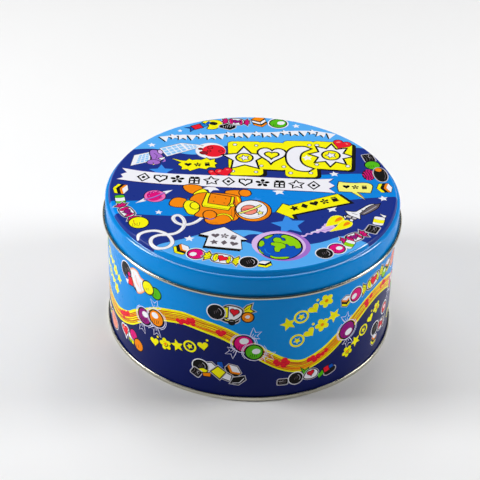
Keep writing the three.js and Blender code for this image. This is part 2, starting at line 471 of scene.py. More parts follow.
def barrel(mid, ends, w=6.2, h=9.0):
    parts = [("black", grow(rrect(0, 0, w, h, 1.6), 0.45)), (ends, rrect(0, 0, w, h, 1.6))]
    band = np.array([(-w / 2, -0.2 * h), (-w / 6, -0.25 * h), (w / 6, -0.25 * h), (w / 2, -0.2 * h), (w / 2, 0.2 * h), (w / 6, 0.15 * h), (-w / 6, 0.15 * h), (-w / 2, 0.2 * h)])
    parts += [("black", grow(band, 0.12)), (mid, band)]
    return parts


def berry(w=8.4, h=13.0, colour="magenta", seed=3):
    rng = random.Random(seed)
    parts = [("black", oval(0, 0, w / 2 + 0.1, h / 2 + 0.1))]
    y, row = -h / 2 + 1.0, 0
    while y < h / 2 - 0.4:
        half = w / 2 * math.sqrt(max(0.0, 1 - (y / (h / 2)) ** 2))
        n = max(1, int(half * 2 / 1.75))
        for i in range(n):
            x = (i + 0.5 - n / 2) * 1.75 + (0.35 if row % 2 else -0.2)
            parts.append((colour, oval(x, y, 0.74 + rng.uniform(-0.08, 0.08), 0.66, 0, 0.05)))
        y += 1.5
        row += 1
    return parts


def ribbon_sweet():
    """A red square sweet in blue twisted paper."""
    parts = inked("seablue", A(-2.4, 1.2, -7.2, 2.6, -4.6, 0.3, -6.6, -3.0, -2.2, -1.4), 0.35)
    parts += inked("mid", A(2.2, 1.6, 6.6, 3.2, 5.0, 0.6, 7.0, -2.0, 2.4, -1.6), 0.35)
    parts += inked("red", A(-2.9, 2.4, 2.9, 2.2, 2.7, -2.5, -2.7, -2.3), 0.4)
    parts += [("black", line([(3.2, 0.8), (5.6, 1.8)], 0.28, smooth=False)), ("black", line([(-3.2, 0.2), (-5.6, 1.4)], 0.28, smooth=False))]
    return parts


def shiny_heart(w, rot=0):
    parts = inked("red", heart(0, 0, w), 0.34)
    parts.append(("blush", turned(oval(-0.24 * w, 0.20 * w, 0.13 * w, 0.075 * w, 40), 0)))
    parts.append(("blush", oval(0.25 * w, 0.22 * w, 0.09 * w, 0.05 * w, -30)))
    return [(c, turned(p, rot)) for c, p in parts]


def garland(path, colour, shade, width, gap, shift, size):
    """Pennants on a string, with an offset shadow."""
    c = spline(path, False, 0.8)
    seg = np.linalg.norm(np.diff(c, axis=0), axis=1)
    at = np.concatenate([[0], np.cumsum(seg)])
    parts_shadow, parts_front = [], []
    s, i = gap * 0.4, 0
    while s < at[-1] - gap * 0.3:
        x, y = np.interp(s, at, c[:, 0]), np.interp(s, at, c[:, 1])
        x2, y2 = np.interp(min(s + 0.5, at[-1]), at, c[:, 0]), np.interp(min(s + 0.5, at[-1]), at, c[:, 1])
        a = math.degrees(math.atan2(y2 - y, x2 - x))
        k = i % 3
        if k == 0:
            g = A(-0.42 * size, 0.3, 0.42 * size, 0.3, 0.05 * size, -0.95 * size)
        elif k == 1:
            g = star(0, -0.15 * size, 0.5 * size, 12, 0.5)
        else:
            g = A(-0.36 * size, 0.3, 0.36 * size, 0.3, 0.36 * size, -0.85 * size, 0, -0.5 * size, -0.36 * size, -0.85 * size)
        g = turned(g, a) + (x, y)
        parts_shadow.append((shade, g + shift))
        parts_front.append((colour, g))
        s += gap
        i += 1
    parts_shadow.insert(0, (shade, line(path, width) + shift))
    parts_front.insert(0, (colour, line(path, width)))
    return parts_shadow + parts_front


def doodles(path, size, gap, stroke, colour, start=0, solid=False):
    """A row of plain drawn ornaments along a line: stars, diamonds, hearts, flowers and gift boxes, in outline or filled."""
    c = spline(path, False, 0.8)
    at = np.concatenate([[0], np.cumsum(np.linalg.norm(np.diff(c, axis=0), axis=1))])
    n = max(1, int(round(at[-1] / gap)))
    out = []
    for i in range(n):
        u = at[-1] * (i + 0.5) / n
        x, y = np.interp(u, at, c[:, 0]), np.interp(u, at, c[:, 1])
        x2, y2 = np.interp(min(u + 0.4, at[-1]), at, c[:, 0]), np.interp(min(u + 0.4, at[-1]), at, c[:, 1])
        a = math.degrees(math.atan2(y2 - y, x2 - x)) if x2 != x else 0.0
        h = size / 2
        k = (i + start) % 5
        if k == 0:
            edge = star(0, 0, 1.05 * h, 6, 0.5)
            shapes = [edge if solid else line([(q[0], q[1], 1) for q in edge], stroke, closed=True, smooth=False)]
        elif k == 1:
            edge = A(0, 0.95 * h, 0.75 * h, 0, 0, -0.95 * h, -0.75 * h, 0)
            shapes = [edge] if solid else [line([(q[0], q[1], 1) for q in edge], stroke, closed=True, smooth=False), oval(0, 0, 0.24 * h, 0.3 * h)]
        elif k == 2:
            edge = heart(0, 0, 1.85 * h)
            shapes = [edge if solid else line([(q[0], q[1], 1) for q in edge[::3]], stroke, closed=True, smooth=False)]
        elif k == 3:
            shapes = [turned(oval(0.60 * h, 0, 0.36 * h, 0.27 * h), t) for t in (90, 18, 162, 234, 306)] + [oval(0, 0, 0.2 * h)]
        else:
            w = 0.62 * h
            box = A(-w, 0.34 * h, w, 0.34 * h, w, -0.86 * h, -w, -0.86 * h)
            shapes = [turned(oval(0.30 * h, 0.62 * h, 0.34 * h, 0.2 * h), 0), turned(oval(-0.30 * h, 0.62 * h, 0.34 * h, 0.2 * h), 0)]
            shapes += [box] if solid else [line([(q[0], q[1], 1) for q in box], stroke, closed=True, smooth=False), line([(0, 0.34 * h), (0, -0.86 * h)], stroke * 0.8, smooth=False), line([(-w, -0.2 * h), (w, -0.2 * h)], stroke * 0.8, smooth=False)]
        for p in shapes:
            for_all = [turned(r, a) + (x, y) for r in (p if isinstance(p, list) else [p])]
            out.append((colour, for_all))
    return out


def bilinear(q, u, v):
    a, b, c, d = (np.array(k, float) for k in q)
    return a * (1 - u) * (1 - v) + b * u * (1 - v) + c * u * v + d * (1 - u) * v


def cells(q, nu, nv, colour, pad=0.12):
    out = []
    for i in range(nu):
        for j in range(nv):
            u0, u1 = (i + pad) / nu, (i + 1 - pad) / nu
            v0, v1 = (j + pad) / nv, (j + 1 - pad) / nv
            out.append((colour, np.array([bilinear(q, u0, v0), bilinear(q, u1, v0), bilinear(q, u1, v1), bilinear(q, u0, v1)])))
    return out


# ------------------------------------------------------------------ the lid's printing, seen from above, +Y at the back


def wave_band(top, bottom):
    """A band across the lid between two smooth lines, each given from left to right."""
    t, b = spline(top, False, 2.0), spline(bottom, False, 2.0)
    return np.array([*t, *b[::-1]])


def lid_art(clip_r):
    L = Art()
    far = 130.0

    def clipped(p):
        r = np.linalg.norm(p, axis=1)
        k = np.where(r > clip_r, clip_r / np.maximum(r, 1e-9), 1.0)
        return p * k[:, None]

    def dense(p, step=2.0):
        out = []
        for a, b in zip(p, np.roll(p, -1, 0)):
            n = max(1, int(np.linalg.norm(b - a) / step))
            out += [a + (b - a) * j / n for j in range(n)]
        return np.array(out)

    def band(colour, top, bottom):
        L.add(colour, clipped(dense(wave_band(top, bottom))))

    # wavy ground
    band("navy",
         [(-far, 40), (-90, 42.2), (-83.7, 43.3), (-76, 44.8), (-68, 45), (-58, 42.8), (-48, 40), (-41, 39.4), (-33, 42), (-25, 48.5), (-17, 53.5), (0, 55), (30, 55), (60, 55.6), (68, 56.3), (76, 55.2), (84, 51), (far, 40)],
         [(-far, -25), (-94, -22.5), (-80, -21.7), (-70, -20.3), (-60, -18.8), (-50, -17.6), (-40, -16.8), (-28, -16), (-18, -14), (-10, -11), (-4, -3.5), (2, 3), (14, 8), (28, 13), (40, 17.3), (52, 19.6), (62, 20.8), (72, 21.7), (84, 21.8), (far, 19)])
    band("mid",
         [(-far, -25), (-94, -22.5), (-80, -21.7), (-70, -20.3), (-60, -18.8), (-50, -17.6), (-40, -16.8), (-28, -16), (-18, -14), (-10, -11), (-4, -3.5), (2, 3), (14, 8), (28, 13), (40, 17.3), (52, 19.6), (62, 20.8), (72, 21.7), (84, 21.8), (far, 19)],
         [(-far, -36), (-94, -36.6), (-80, -37), (-65, -37.4), (-52, -37.5), (-39, -36.9), (-20, -35.5), (0, -32), (12, -29.8), (24, -26), (38, -20.5), (52, -15.5), (64, -11.4), (74, -8.8), (84, -7), (95, -5.5), (far, -2)])
    band("navy",
         [(-far, -36), (-94, -36.6), (-80, -37), (-65, -37.4), (-52, -37.5), (-39, -36.9), (-20, -35.5), (0, -32), (12, -29.8), (24, -26), (38, -20.5), (52, -15.5), (64, -11.4), (74, -8.8), (84, -7), (95, -5.5), (far, -2)],
         [(-100, -110), (-70, -84), (-60.8, -75), (-57, -70), (-51.7, -67.4), (-47.9, -65.6), (-42, -62.8), (-37, -60), (-32, -57.5), (-24, -54.4), (-12, -51.9), (-5, -51), (1, -51.6), (7, -53.4), (13, -58), (22, -63.5), (30, -65.2), (36, -64.3), (41.4, -62.7), (47.9, -59.5), (53.7, -55.6), (60, -53.6), (66, -56), (71, -59.6), (77.5, -62.6), (95, -75)])
    L.add("navy", spline([(-5, -58.4), (-1, -55.6), (4, -55.1), (9, -57), (13, -62), (10, -66.6), (2, -66.6), (-4, -63.4)]))
    L.add("sky", spline([(-12, -51.9, 1), (-5, -51.0), (2, -51.7), (9, -54.2), (9, -57.0), (4, -55.2), (-1, -55.6), (-5, -58.4), (-9, -58.2)]))

    # stars
    for x, y, R, rot, c in ((29.1, 83.3, 2.9, 8, "white"), (-52.8, 71.1, 1.9, 5, "white"), (-71.1, 50.3, 3.0, 10, "white"), (-60.1, -33.9, 2.5, 0, "white"),
                            (-38.8, -62.6, 3.4, 0, "white"), (17.2, -4.3, 4.4, 10, "white"), (54.3, 20.2, 3.4, 6, "white"), (51.4, -23.0, 4.2, 14, "white"),
                            (85.7, -8.3, 3.4, 12, "white"), (-62.0, 16.3, 8.6, 4, "starblue"), (23.6, -43.2, 11.6, 10, "starblue"), (2.4, -15.2, 3.6, 6, "starblue"), (-27.6, -2.6, 6.0, 30, "white")):
        L.add(c, star(x, y, R, rot, 0.48))

    # satellite with two cell panels
    q = [(-59.9, 35.7), (-39.0, 48.9), (-38.0, 52.6), (-65.2, 46.2)]
    big = [(-59.6, 35.8), (-39.2, 48.4), (-37.4, 52.4), (-51.2, 54.1), (-65.3, 46.0)]
    L.parts(inked("panelblue", np.array(big, float), 0.35, "grey"))
    L.add("white", np.array(big, float))
    L.parts(cells([(-59.3, 36.6), (-46.0, 44.8), (-51.4, 53.3), (-64.6, 45.8)], 4, 3, "panelblue", 0.10))
    L.parts(cells([(-45.4, 45.2), (-39.6, 48.9), (-40.0, 52.0), (-50.0, 53.2)], 3, 3, "panelblue", 0.12))
    small = [(-83.2, 22.0), (-70.9, 28.4), (-71.2, 40.8), (-81.9, 35.6)]
    L.parts(inked("white", np.array(small, float), 0.35, "grey"))
    L.parts(cells([(-80.2, 24.4), (-71.6, 28.8), (-71.8, 39.6), (-78.6, 36.0)], 3, 4, "panelblue", 0.11))
    L.parts(inked("purple", spline([(-71.5, 42.4), (-69.6, 43.6), (-66.2, 42.6), (-64.0, 38.4), (-62.2, 34.4), (-63.6, 29.6), (-66.0, 27.0), (-69.2, 28.6), (-69.8, 33.4), (-71.2, 37.4)]), 0.4))
    L.parts(inked("purple", spline([(-72.4, 27.6), (-70.4, 30.2), (-66.8, 30.4), (-63.8, 28.2), (-64.6, 25.6), (-68.2, 24.6), (-71.6, 25.4)]), 0.36))
    L.parts(inked("lilac", oval(-64.6, 41.4, 1.5, 2.6, 20), 0.3))
    L.add("purple", line([(-61.2, 31.6), (-60.6, 29.6), (-61.6, 28.8)], 1.2))
    L.parts(inked("white", A(-65.0, 32.8, -61.2, 34.6, -61.0, 33.0, -63.0, 30.8), 0.3))
    L.parts([("black", line([(-68.8, 39.4), (-66.4, 36.2), (-67.0, 32.0)], 0.35)), ("black", line([(-68.4, 26.8), (-67.9, 24.6)], 0.6)), ("paleyellow", oval(-67.8, 24.6, 0.5))])

    # cratered red planet
    L.parts(inked("white", oval(-30.1, 45.3, 10.3), 0.3, "silver"))
    L.add("red", oval(-27.9, 45.2, 8.1))
    for x, y, rx, ry in ((-34.8, 42.0, 2.5, 1.9), (-37.2, 47.2, 1.2, 1.1)):
        L.parts(inked("darkred", oval(x, y, rx, ry, -15), 0.3))
    for x, y, r in ((-30.6, 49.4, 1.5), (-23.0, 45.0, 1.3), (-31.2, 44.8, 1.0)):
        L.parts(inked("red", oval(x, y, r, r * 0.9), 0.34))
    L.add("silver", oval(-36.3, 51.6, 1.2, 0.9))

    # burst
    burst = A(-55.8, 33.2, -49.6, 31.0, -46.2, 30.6, -44.2, 33.4, -42.2, 31.8, -39.6, 32.5, -35.6, 32.6, -32.4, 35.4, -30.0, 32.6, -26.8, 34.2, -26.9, 30.6, -25.0, 28.8, -26.6, 27.0,
              -25.8, 23.4, -30.3, 23.7, -32.2, 20.8, -36.8, 22.2, -42.8, 18.0, -44.4, 20.2, -48.6, 19.5, -48.4, 22.8, -51.3, 25.9, -49.3, 28.4)
    L.parts(inked("yellow", burst, 0.4))
    L.parts(doodles([(-47.8, 25.6), (-38.0, 26.4), (-28.4, 27.8)], 5.4, 6.4, 0.8, "black", 2, True))

    # block with four plain emblems, and its shadow
    tiles = [(-6.0, 37.0, 23.0, 44.5, 3), (12.6, 41.2, 21.0, 36.0, -2), (31.6, 38.6, 21.5, 47.5, 2), (53.4, 44.2, 27.5, 36.5, -3)]
    for c, d, grown in (("black", (2.2, -1.5), 0.5), ("black", (1.1, -0.8), 0.5), ("black", (0, 0), 0.5), ("yellow", (0, 0), 0.0)):
        for x, y, w, h, a in tiles:
            L.add(c, grow(rrect(x, y, w, h, 3.2, a), grown) + d)
    emblems = [
        [star(0, -1.0, 14.6, 0, 0.52)],
        [heart(0, 0, 18.6, 0, 1.15)],
        None,
        [star(0, 0, 14.0, 0, 0.60, 8)],
    ]
    for (x, y, w, h, a), e in zip(tiles, emblems):
        if e is None:
            moon = [(3.5, 15.5), (-3.2, 14.2), (-7.6, 8.2), (-8.6, 0), (-7.2, -8.0), (-2.6, -14.6), (4.6, -16.2), (8.4, -13.2, 1), (3.2, -9.6), (0.6, -4.6), (0.2, 1.6), (2.2, 8.0), (8.0, 13.0, 1)]
            e = [spline(moon)]
        for p in e:
            L.parts(inked("white", turned(p, a) + (x - 0.6, y + 0.4), 0.85))
    for (x, y, r, c) in ((-6.6, 37.4, 5.2, "yellow"), (12.0, 42.6, 0, None), (52.8, 44.6, 5.6, "yellow")):
        if r:
            L.parts(inked(c, oval(x, y, r), 0.75))
            L.parts(inked("white", star(x, y, r * 0.62, 20, 0.5) if c else oval(x, y, r * 0.5), 0.35))
    L.parts(inked("yellow", heart(12.0, 41.9, 8.6, -2), 0.75))
    L.add("white", star(36.4, 40.0, 3.8, 10, 0.5))
    for x, y, r in ((-13.6, 54.6, 1.2), (1.2, 54.4, 1.0), (-14.2, 19.6, 1.3), (1.6, 19.4, 1.1), (25.0, 19.6, 1.2), (38.6, 20.6, 1.2), (38.2, 57.4, 1.1), (43.4, 57.6, 1.3), (64.0, 31.0, 1.3), (42.8, 31.8, 1.2), (20.4, 27.4, 1.2), (5.2, 27.6, 1.1)):
        L.parts(inked("white", oval(x, y, r), 0.3))
    L.parts(shiny_heart(12.6, -22), 60.4, 59.3)

    # hearts by the block
    L.parts(shiny_heart(8.2, -14), -26.8, 15.8)
    L.parts(shiny_heart(12.0, 20), -19.6, 17.6)

    # garland over the block
    L.parts(garland([(-66, 61.5), (-52, 65.0), (-40, 65.6), (-28, 67.4), (-14, 70.4), (0, 71.6), (14, 73.4), (28, 76.0), (42, 76.6), (56, 73.6)], "white", "black", 1.0, 6.6, (-1.0, -0.7), 7.6))

    # ribbon banner with a leafy vine
    ban = spline([(-88.4, 18.6, 1), (-78, 16.0), (-66, 14.2), (-52, 13.3), (-34, 13.1), (-14, 13.2), (8, 12.7), (30, 12.4), (42, 12.7), (53.2, 13.9, 1), (50.0, 9.8, 1), (54.0, 5.4, 1), (50.0, 1.6, 1),
                  (54.2, -3.2, 1), (40, -2.4), (22, -1.9), (2, -1.2), (-20, -0.9), (-44, 0), (-62, 0.7), (-78, 2.4), (-90.8, 4.6, 1), (-86.8, 7.0, 1), (-88.6, 10.8, 1), (-84.8, 13.2, 1)], step=2.5)
    L.add("black", grow(ban, 0.35) + (0.2, -0.5))
    L.add("lilac", grow(ban, 0.2))
    L.add("white", ban)
    L.parts(doodles([(-79.0, 8.6), (-66.0, 7.4), (-50.0, 6.8), (-30.0, 6.5), (-10.0, 6.2), (12.0, 5.7), (32.0, 5.2), (46.0, 4.9)], 10.2, 11.2, 1.55, "black", 1))

    # ringed pink planet
    L.parts(inked("white", A(-75.6, -23.8, -70.9, -18.2, -69.6, -21.0), 0.35, "silver"))
    L.parts(inked("white", A(-53.2, -6.9, -59.2, -9.2, -57.2, -12.0), 0.35, "silver"))
    L.parts(inked("pink", oval(-64.0, -14.9, 6.9), 0.34))
    L.add("magenta", spline([(-69.4, -13.2), (-67.2, -10.4), (-62.6, -9.8), (-59.9, -12.6), (-60.2, -17.6), (-63.6, -20.6), (-67.6, -19.4)]))
    for x, y, a in ((-67.4, -11.2, 10), (-65.4, -10.2, 0), (-62.4, -9.8, -5), (-68.0, -14.6, 8), (-60.0, -16.6, 5)):
        L.add("plum", oval(x, y, 1.0, 1.25, a))
        L.add("pink", oval(x + 0.2, y - 0.2, 0.45, 0.6, a))
    L.add("purple", line([(-70.6, -19.6), (-64.4, -16.0), (-57.8, -10.2)], 1.1))
    L.add("plum", line([(-70.4, -20.4), (-64.2, -16.8), (-57.8, -11.0)], 0.4))

    # hose from the capsule
    hose = [(-31.6, -37.2), (-33.2, -40.4), (-35.4, -43.4), (-38.8, -46.1), (-43.3, -47.3), (-47.6, -45.4), (-50.2, -41.4), (-49.8, -37.8), (-47.2, -36.6), (-44.9, -38.8), (-43.2, -42.8), (-42.8, -47.6), (-44.2, -52.6),
            (-47.8, -57.2), (-52.8, -59.0), (-58.6, -60.2), (-62.2, -63.6), (-62.4, -69.0), (-59.2, -73.4), (-54.4, -74.2), (-50.6, -71.6), (-49.1, -67.2), (-51.0, -61.6), (-54.8, -57.4), (-60.2, -55.2), (-66.0, -56.3), (-70.0, -59.4), (-71.4, -63.6)]
    L.add("grey", line(hose, 2.95, step=0.9))
    L.add("white", line(hose, 2.35, step=0.9))
    L.add("silver", line([(x + 0.5, y - 0.35) for x, y in hose[:13]], 0.3, step=0.9))

    # toy space capsule: orange pods, yellow collars, a round window
    def pod(pts, colour="orange"):
        L.parts(inked(colour, spline(pts), 0.45, "ochre" if False else "black"))

    pod([(-45.9, -1.2), (-41, 0.6), (-35.2, -0.8), (-33.6, -4.4), (-35.8, -8.6), (-40.0, -10.0), (-44.4, -6.4)])
    pod([(-33.2, -4.4), (-30.2, -7.4), (-29.2, -10.4), (-36.6, -13.0), (-38.6, -10.0)], "yellow")
    pod([(-17.8, -6.2), (-14.0, -4.8), (-8.6, -4.6), (-7.4, -9.0), (-9.6, -13.2), (-15.6, -12.6), (-17.6, -9.4)])
    pod([(-8.8, -6.0), (-6.4, -3.6), (-2.6, -4.6), (-1.4, -8.6), (-4.0, -11.4), (-7.8, -10.4)])
    pod([(-53.6, -21.6), (-51.8, -17.4), (-48.0, -15.8), (-43.6, -17.6), (-42.2, -21.8), (-44.0, -26.2), (-49.0, -27.0), (-53.2, -25.2)])
    pod([(-42.8, -19.4), (-37.8, -19.2), (-33.8, -24.0), (-33.2, -30.4), (-36.4, -34.9), (-40.8, -34.2), (-43.2, -29.2), (-44.4, -25.0)], "yellow")
    L.parts(inked("yellow", oval(-37.2, -24.6, 2.9, 3.9, 8), 0.4))
    pod([(-40.8, -18.0), (-38.6, -12.6), (-34.0, -9.4), (-25.9, -8.8), (-17.0, -9.4), (-10.4, -11.4), (-7.8, -16.0), (-8.2, -28.0), (-8.8, -37.0), (-12.4, -40.6), (-22.0, -39.6), (-31.0, -38.0), (-36.6, -36.0), (-34.0, -30.4), (-34.0, -24.0), (-37.4, -19.4)])
    L.parts([("black", line([(-12.6, -12.6), (-11.4, -20.0), (-11.0, -30.0), (-11.8, -39.6)], 0.45)), ("yellow", line([(-10.0, -12.6), (-8.9, -18.0)], 0.9)), ("ochre", line([(-13.4, -27.8), (-12.9, -36.0)], 0.5))])
    L.parts(inked("yellow", A(-30.0, -8.9, -12.2, -12.9, -12.9, -21.0, -15.6, -28.6, -31.9, -25.2, -32.5, -22.8), 0.42))
    L.parts(inked("orange", spline([(-27.4, -9.6, 1), (-14.4, -12.6, 1), (-14.8, -18.6), (-16.4, -23.4, 1), (-28.7, -20.8, 1), (-28.4, -15.0)]), 0.42))
    L.parts([("black", line([(-31.6, -24.0), (-16.4, -27.2)], 0.3, smooth=False)), ("black", line([(-15.8, -24.6), (-13.4, -20.4)], 0.3, smooth=False))])
    L.parts(inked("yellow", oval(-13.2, -22.9, 1.3), 0.35))
    L.parts([("darkred", oval(-12.2, -19.4, 0.8)), ("black", oval(-24.6, -13.6, 0.45)), ("black", oval(-17.6, -15.2, 0.45)), ("black", oval(-25.4, -18.6, 0.45)), ("black", oval(-18.4, -20.2, 0.45))])
    pod([(-29.8, -40.0), (-28.6, -43.6), (-24.6, -45.6), (-18.6, -44.8), (-13.6, -41.0), (-13.2, -36.6), (-18.0, -34.4), (-24.6, -36.2)])
    L.parts(inked("yellow", line([(-22.6, -35.4), (-18.6, -33.4), (-14.6, -35.0), (-12.6, -38.8)], 1.1), 0.3))
    pod([(-31.2, -34.0), (-29.8, -30.8), (-26.6, -30.0), (-23.6, -32.6), (-23.2, -36.4), (-26.0, -39.4), (-30.0, -38.6)])
    L.parts([("seablue", line([(-29.2, -38.8), (-26.8, -40.0), (-24.4, -38.8)], 1.0)), ("ochre", oval(-24.2, -44.2, 2.6, 0.9)), ("orange", oval(-24.2, -44.4, 2.1, 0.55))])
    L.parts(inked("orange", oval(0.6, -28.2, 11.5, 12.2), 0.45))
    L.parts(inked("white", oval(-0.4, -27.0, 9.9, 10.6, 0), 0.4))
    L.parts([("silver", line([(-0.4 + 8.6 * math.cos(t), -27.0 + 9.2 * math.sin(t)) for t in np.linspace(3.5, 5.6, 9)], 0.5)), ("ochre", line([(0.6 + 10.8 * math.cos(t), -28.2 + 11.4 * math.sin(t)) for t in np.linspace(-1.2, 0.5, 9)], 0.5))])
    L.parts(inked("salmon", oval(-2.0, -27.4, 4.9, 5.3, 0), 0.4))
    for k, w in ((2.6, 0.9), (-0.2, 1.2), (-3.0, 0.8)):
        L.add("red" if k == -0.2 else "blush", line([(-6.1, -27.2 + k), (-3.6, -26.2 + k), (0.0, -26.4 + k), (2.2, -27.4 + k)], w * 0.75, step=0.8))
    L.parts(inked("paleyellow", line([(-8.2, -31.8), (-3.8, -29.0), (1.6, -25.2), (5.0, -22.0)], 1.3), 0.35))
    L.parts(inked("paleyellow", star(5.2, -30.4, 2.0, 10, 0.5), 0.3))

    # yellow arrow with a zigzag, and its shadow
    arrow = A(15.6, -28.6, 19.8, -18.9, 23.8, -21.1, 55.8, -4.7, 63.6, -14.6, 25.6, -31.4, 26.9, -36.0)
    L.add("black", grow(arrow, 0.35) + (2.5, -0.5))
    L.add("black", grow(arrow, 0.35) + (1.3, -0.2))
    L.parts(inked("yellow", arrow, 0.4))
    L.parts(doodles([(24.0, -25.2), (38.0, -18.6), (57.0, -9.6)], 6.6, 7.2, 1.0, "black", 5, True))

    # bubble with three dots
    bub = spline([(57.4, 10.6, 1), (62, 9.8), (68, 9.6), (75.6, 10.2), (79.2, 7.4), (78.6, 2.0), (77.6, -1.9, 1), (68.6, -1.5, 1), (73.9, -10.5, 1), (65.2, -1.5, 1), (57.0, -1.3, 1), (56.4, 4.6)], step=1.4)
    L.parts(inked("paleyellow", bub, 0.42))
    L.parts([("ochre", line([(70.4, -3.0), (73.0, -8.4)], 0.35, smooth=False)), ("yellow", line([(67.4, -2.4), (71.2, -6.4)], 0.5, smooth=False))])
    L.parts(doodles([(59.0, 4.4), (68.0, 4.6), (77.0, 4.8)], 5.2, 6.0, 0.75, "black", 2, True))

    # rocket, flames and smoke
    smoke = spline([(29.8, -58.0), (31.4, -54.6), (33.6, -54.4), (34.8, -52.2), (37.4, -52.0), (38.2, -50.0), (40.6, -49.8), (41.2, -47.2), (44.0, -46.8), (44.8, -43.6), (46.0, -42.6), (46.4, -40.6), (48.6, -40.2), (52, -42),
                    (54, -45.6), (51.4, -48.6), (48.2, -49.0), (46.6, -50.8), (43.8, -49.4), (42.2, -51.6), (39.6, -51.0), (38.0, -53.4), (35.6, -53.4), (34.4, -55.8), (31.8, -56.4)], step=0.8)
    L.parts([("lilac", smoke)])
    L.parts([("purple", line([(44.6, -48.4), (48.4, -47.2), (51.6, -45.0)], 0.5)), ("white", line([(37.6, -51.0), (42.0, -48.4), (46.4, -44.4)], 0.6))])
    f1 = [(47.4, -43.4, 1), (49.0, -36.8), (51.4, -32.2), (55.6, -30.6), (58.9, -33.0), (58.4, -36.6), (54.4, -40.6)]
    f2 = [(50.0, -49.0, 1), (54.0, -43.6), (55.8, -39.6), (58.4, -36.4), (62.2, -35.7), (64.2, -38.8), (62.8, -42.8), (58.2, -45.8)]
    L.parts(inked("yellow", spline(f1), 0.35, "paleyellow") + inked("yellow", spline(f2), 0.35, "paleyellow"))
    L.add("orange", spline([(52.8, -38.2, 1), (54.2, -34.4), (56.8, -32.2), (58.2, -34.0), (56.0, -36.6)]))
    L.add("orange", spline([(58.2, -42.8, 1), (59.4, -39.0), (61.8, -37.4), (62.9, -39.2), (60.8, -41.4)]))
    L.parts(inked("white", A(59.6, -30.4, 61.2, -31.6, 60.2, -33.4, 58.9, -32.2), 0.4))
    L.parts(inked("white", A(63.4, -33.8, 65.0, -35.0, 64.4, -37.0, 62.6, -35.9), 0.4))
    L.parts(inked("silver", A(61.2, -29.6, 64.2, -31.2, 63.2, -33.0, 60.4, -31.4), 0.4))
    L.parts(inked("silver", A(65.2, -31.4, 68.2, -31.2, 66.6, -34.4, 64.2, -33.4), 0.4))
    L.parts(inked("white", spline([(60.4, -24.8, 1), (66.6, -25.6), (70.2, -22.4), (75.6, -17.0), (79.4, -15.6), (78.0, -19.6), (72.6, -24.4), (69.8, -27.4), (69.4, -33.6, 1), (66.8, -31.8), (63.0, -29.6), (61.6, -27.6)]), 0.4))
    L.parts(inked("grey", spline([(70.0, -27.4, 1), (73.6, -22.4), (77.6, -17.6), (83.2, -14.8, 1), (81.4, -19.8), (77.0, -24.6), (71.8, -28.6)]), 0.4))
    L.parts([("silver", line([(72.2, -27.0), (76.4, -22.8), (80.6, -18.2)], 0.55)), ("black", line([(64.6, -27.2), (67.8, -28.8)], 0.4)), ("black", line([(70.4, -22.6), (73.2, -25.4)], 0.35, smooth=False)), ("black", oval(74.0, -20.6, 0.45)), ("black", oval(71.4, -23.4, 0.0 + 0.45))])

    # green and blue globe in a purple glow
    L.add("purple", oval(19.1, -66.9, 18.2, 16.4, -12))
    L.add("lilac", oval(17.3, -66.2, 17.0, 14.9, -10))
    L.parts(inked("seablue", oval(18.1, -67.8, 13.5), 0.5))
    L.parts(inked("lime", spline([(20.4, -55.0), (24.6, -56.4), (29.0, -60.4), (31.0, -65.4), (30.6, -68.6), (28.0, -69.0), (27.0, -66.4), (24.2, -66.8), (22.2, -64.6), (19.6, -66.6), (16.8, -65.0), (13.8, -61.4), (15.0, -58.4), (18.2, -58.6), (19.2, -61.0), (21.4, -61.4), (21.2, -58.6), (18.8, -57.0)]), 0.3))
    L.parts(inked("lime", spline([(12.6, -64.2), (17.0, -63.6), (21.2, -65.6), (21.0, -69.0), (18.6, -70.4), (17.6, -73.4), (15.4, -73.6), (14.6, -70.4), (15.0, -67.6), (12.8, -66.6)]), 0.3))
    L.parts(inked("lime", spline([(5.6, -63.0), (7.4, -62.2), (8.2, -66.0), (6.4, -68.6), (5.0, -67.8)]), 0.25))
    L.parts(inked("lime", spline([(8.2, -58.6), (10.8, -56.6), (13.6, -55.6), (12.2, -57.6), (9.6, -60.0)]), 0.25))
    L.parts(inked("lime", spline([(5.2, -71.4), (6.6, -74.2), (8.0, -76.0), (6.6, -75.8), (5.2, -73.6)]), 0.2))
    L.parts(inked("lime", spline([(12.2, -78.0), (15.4, -79.4), (20.0, -79.0), (23.8, -78.8), (21.4, -80.8), (16.0, -81.0), (12.8, -80.0)]), 0.25))
    L.add("mid", line([(8.6, -71.0), (9.8, -74.6), (12.4, -76.6)], 0.6))

    # white arrow-shaped house with wave lines, and its shadow
    house = A(-17.5, -48.4, -2.5, -61.5, -6.6, -61.7, -5.8, -72.2, -28.6, -69.8, -26.7, -58.7, -32.4, -57.1)
    L.add("black", grow(house, 0.3) + (-1.2, -2.3))
    L.add("black", grow(house, 0.3) + (-0.6, -1.2))
    L.parts(inked("white", house, 0.35))
    L.parts(doodles([(-25.4, -58.6), (-17.0, -58.2), (-8.4, -60.2)], 5.6, 5.9, 0.8, "grey", 2, True))
    L.parts(doodles([(-26.2, -65.4), (-17.0, -65.6), (-7.8, -67.6)], 5.6, 5.9, 0.8, "grey", 0, True))

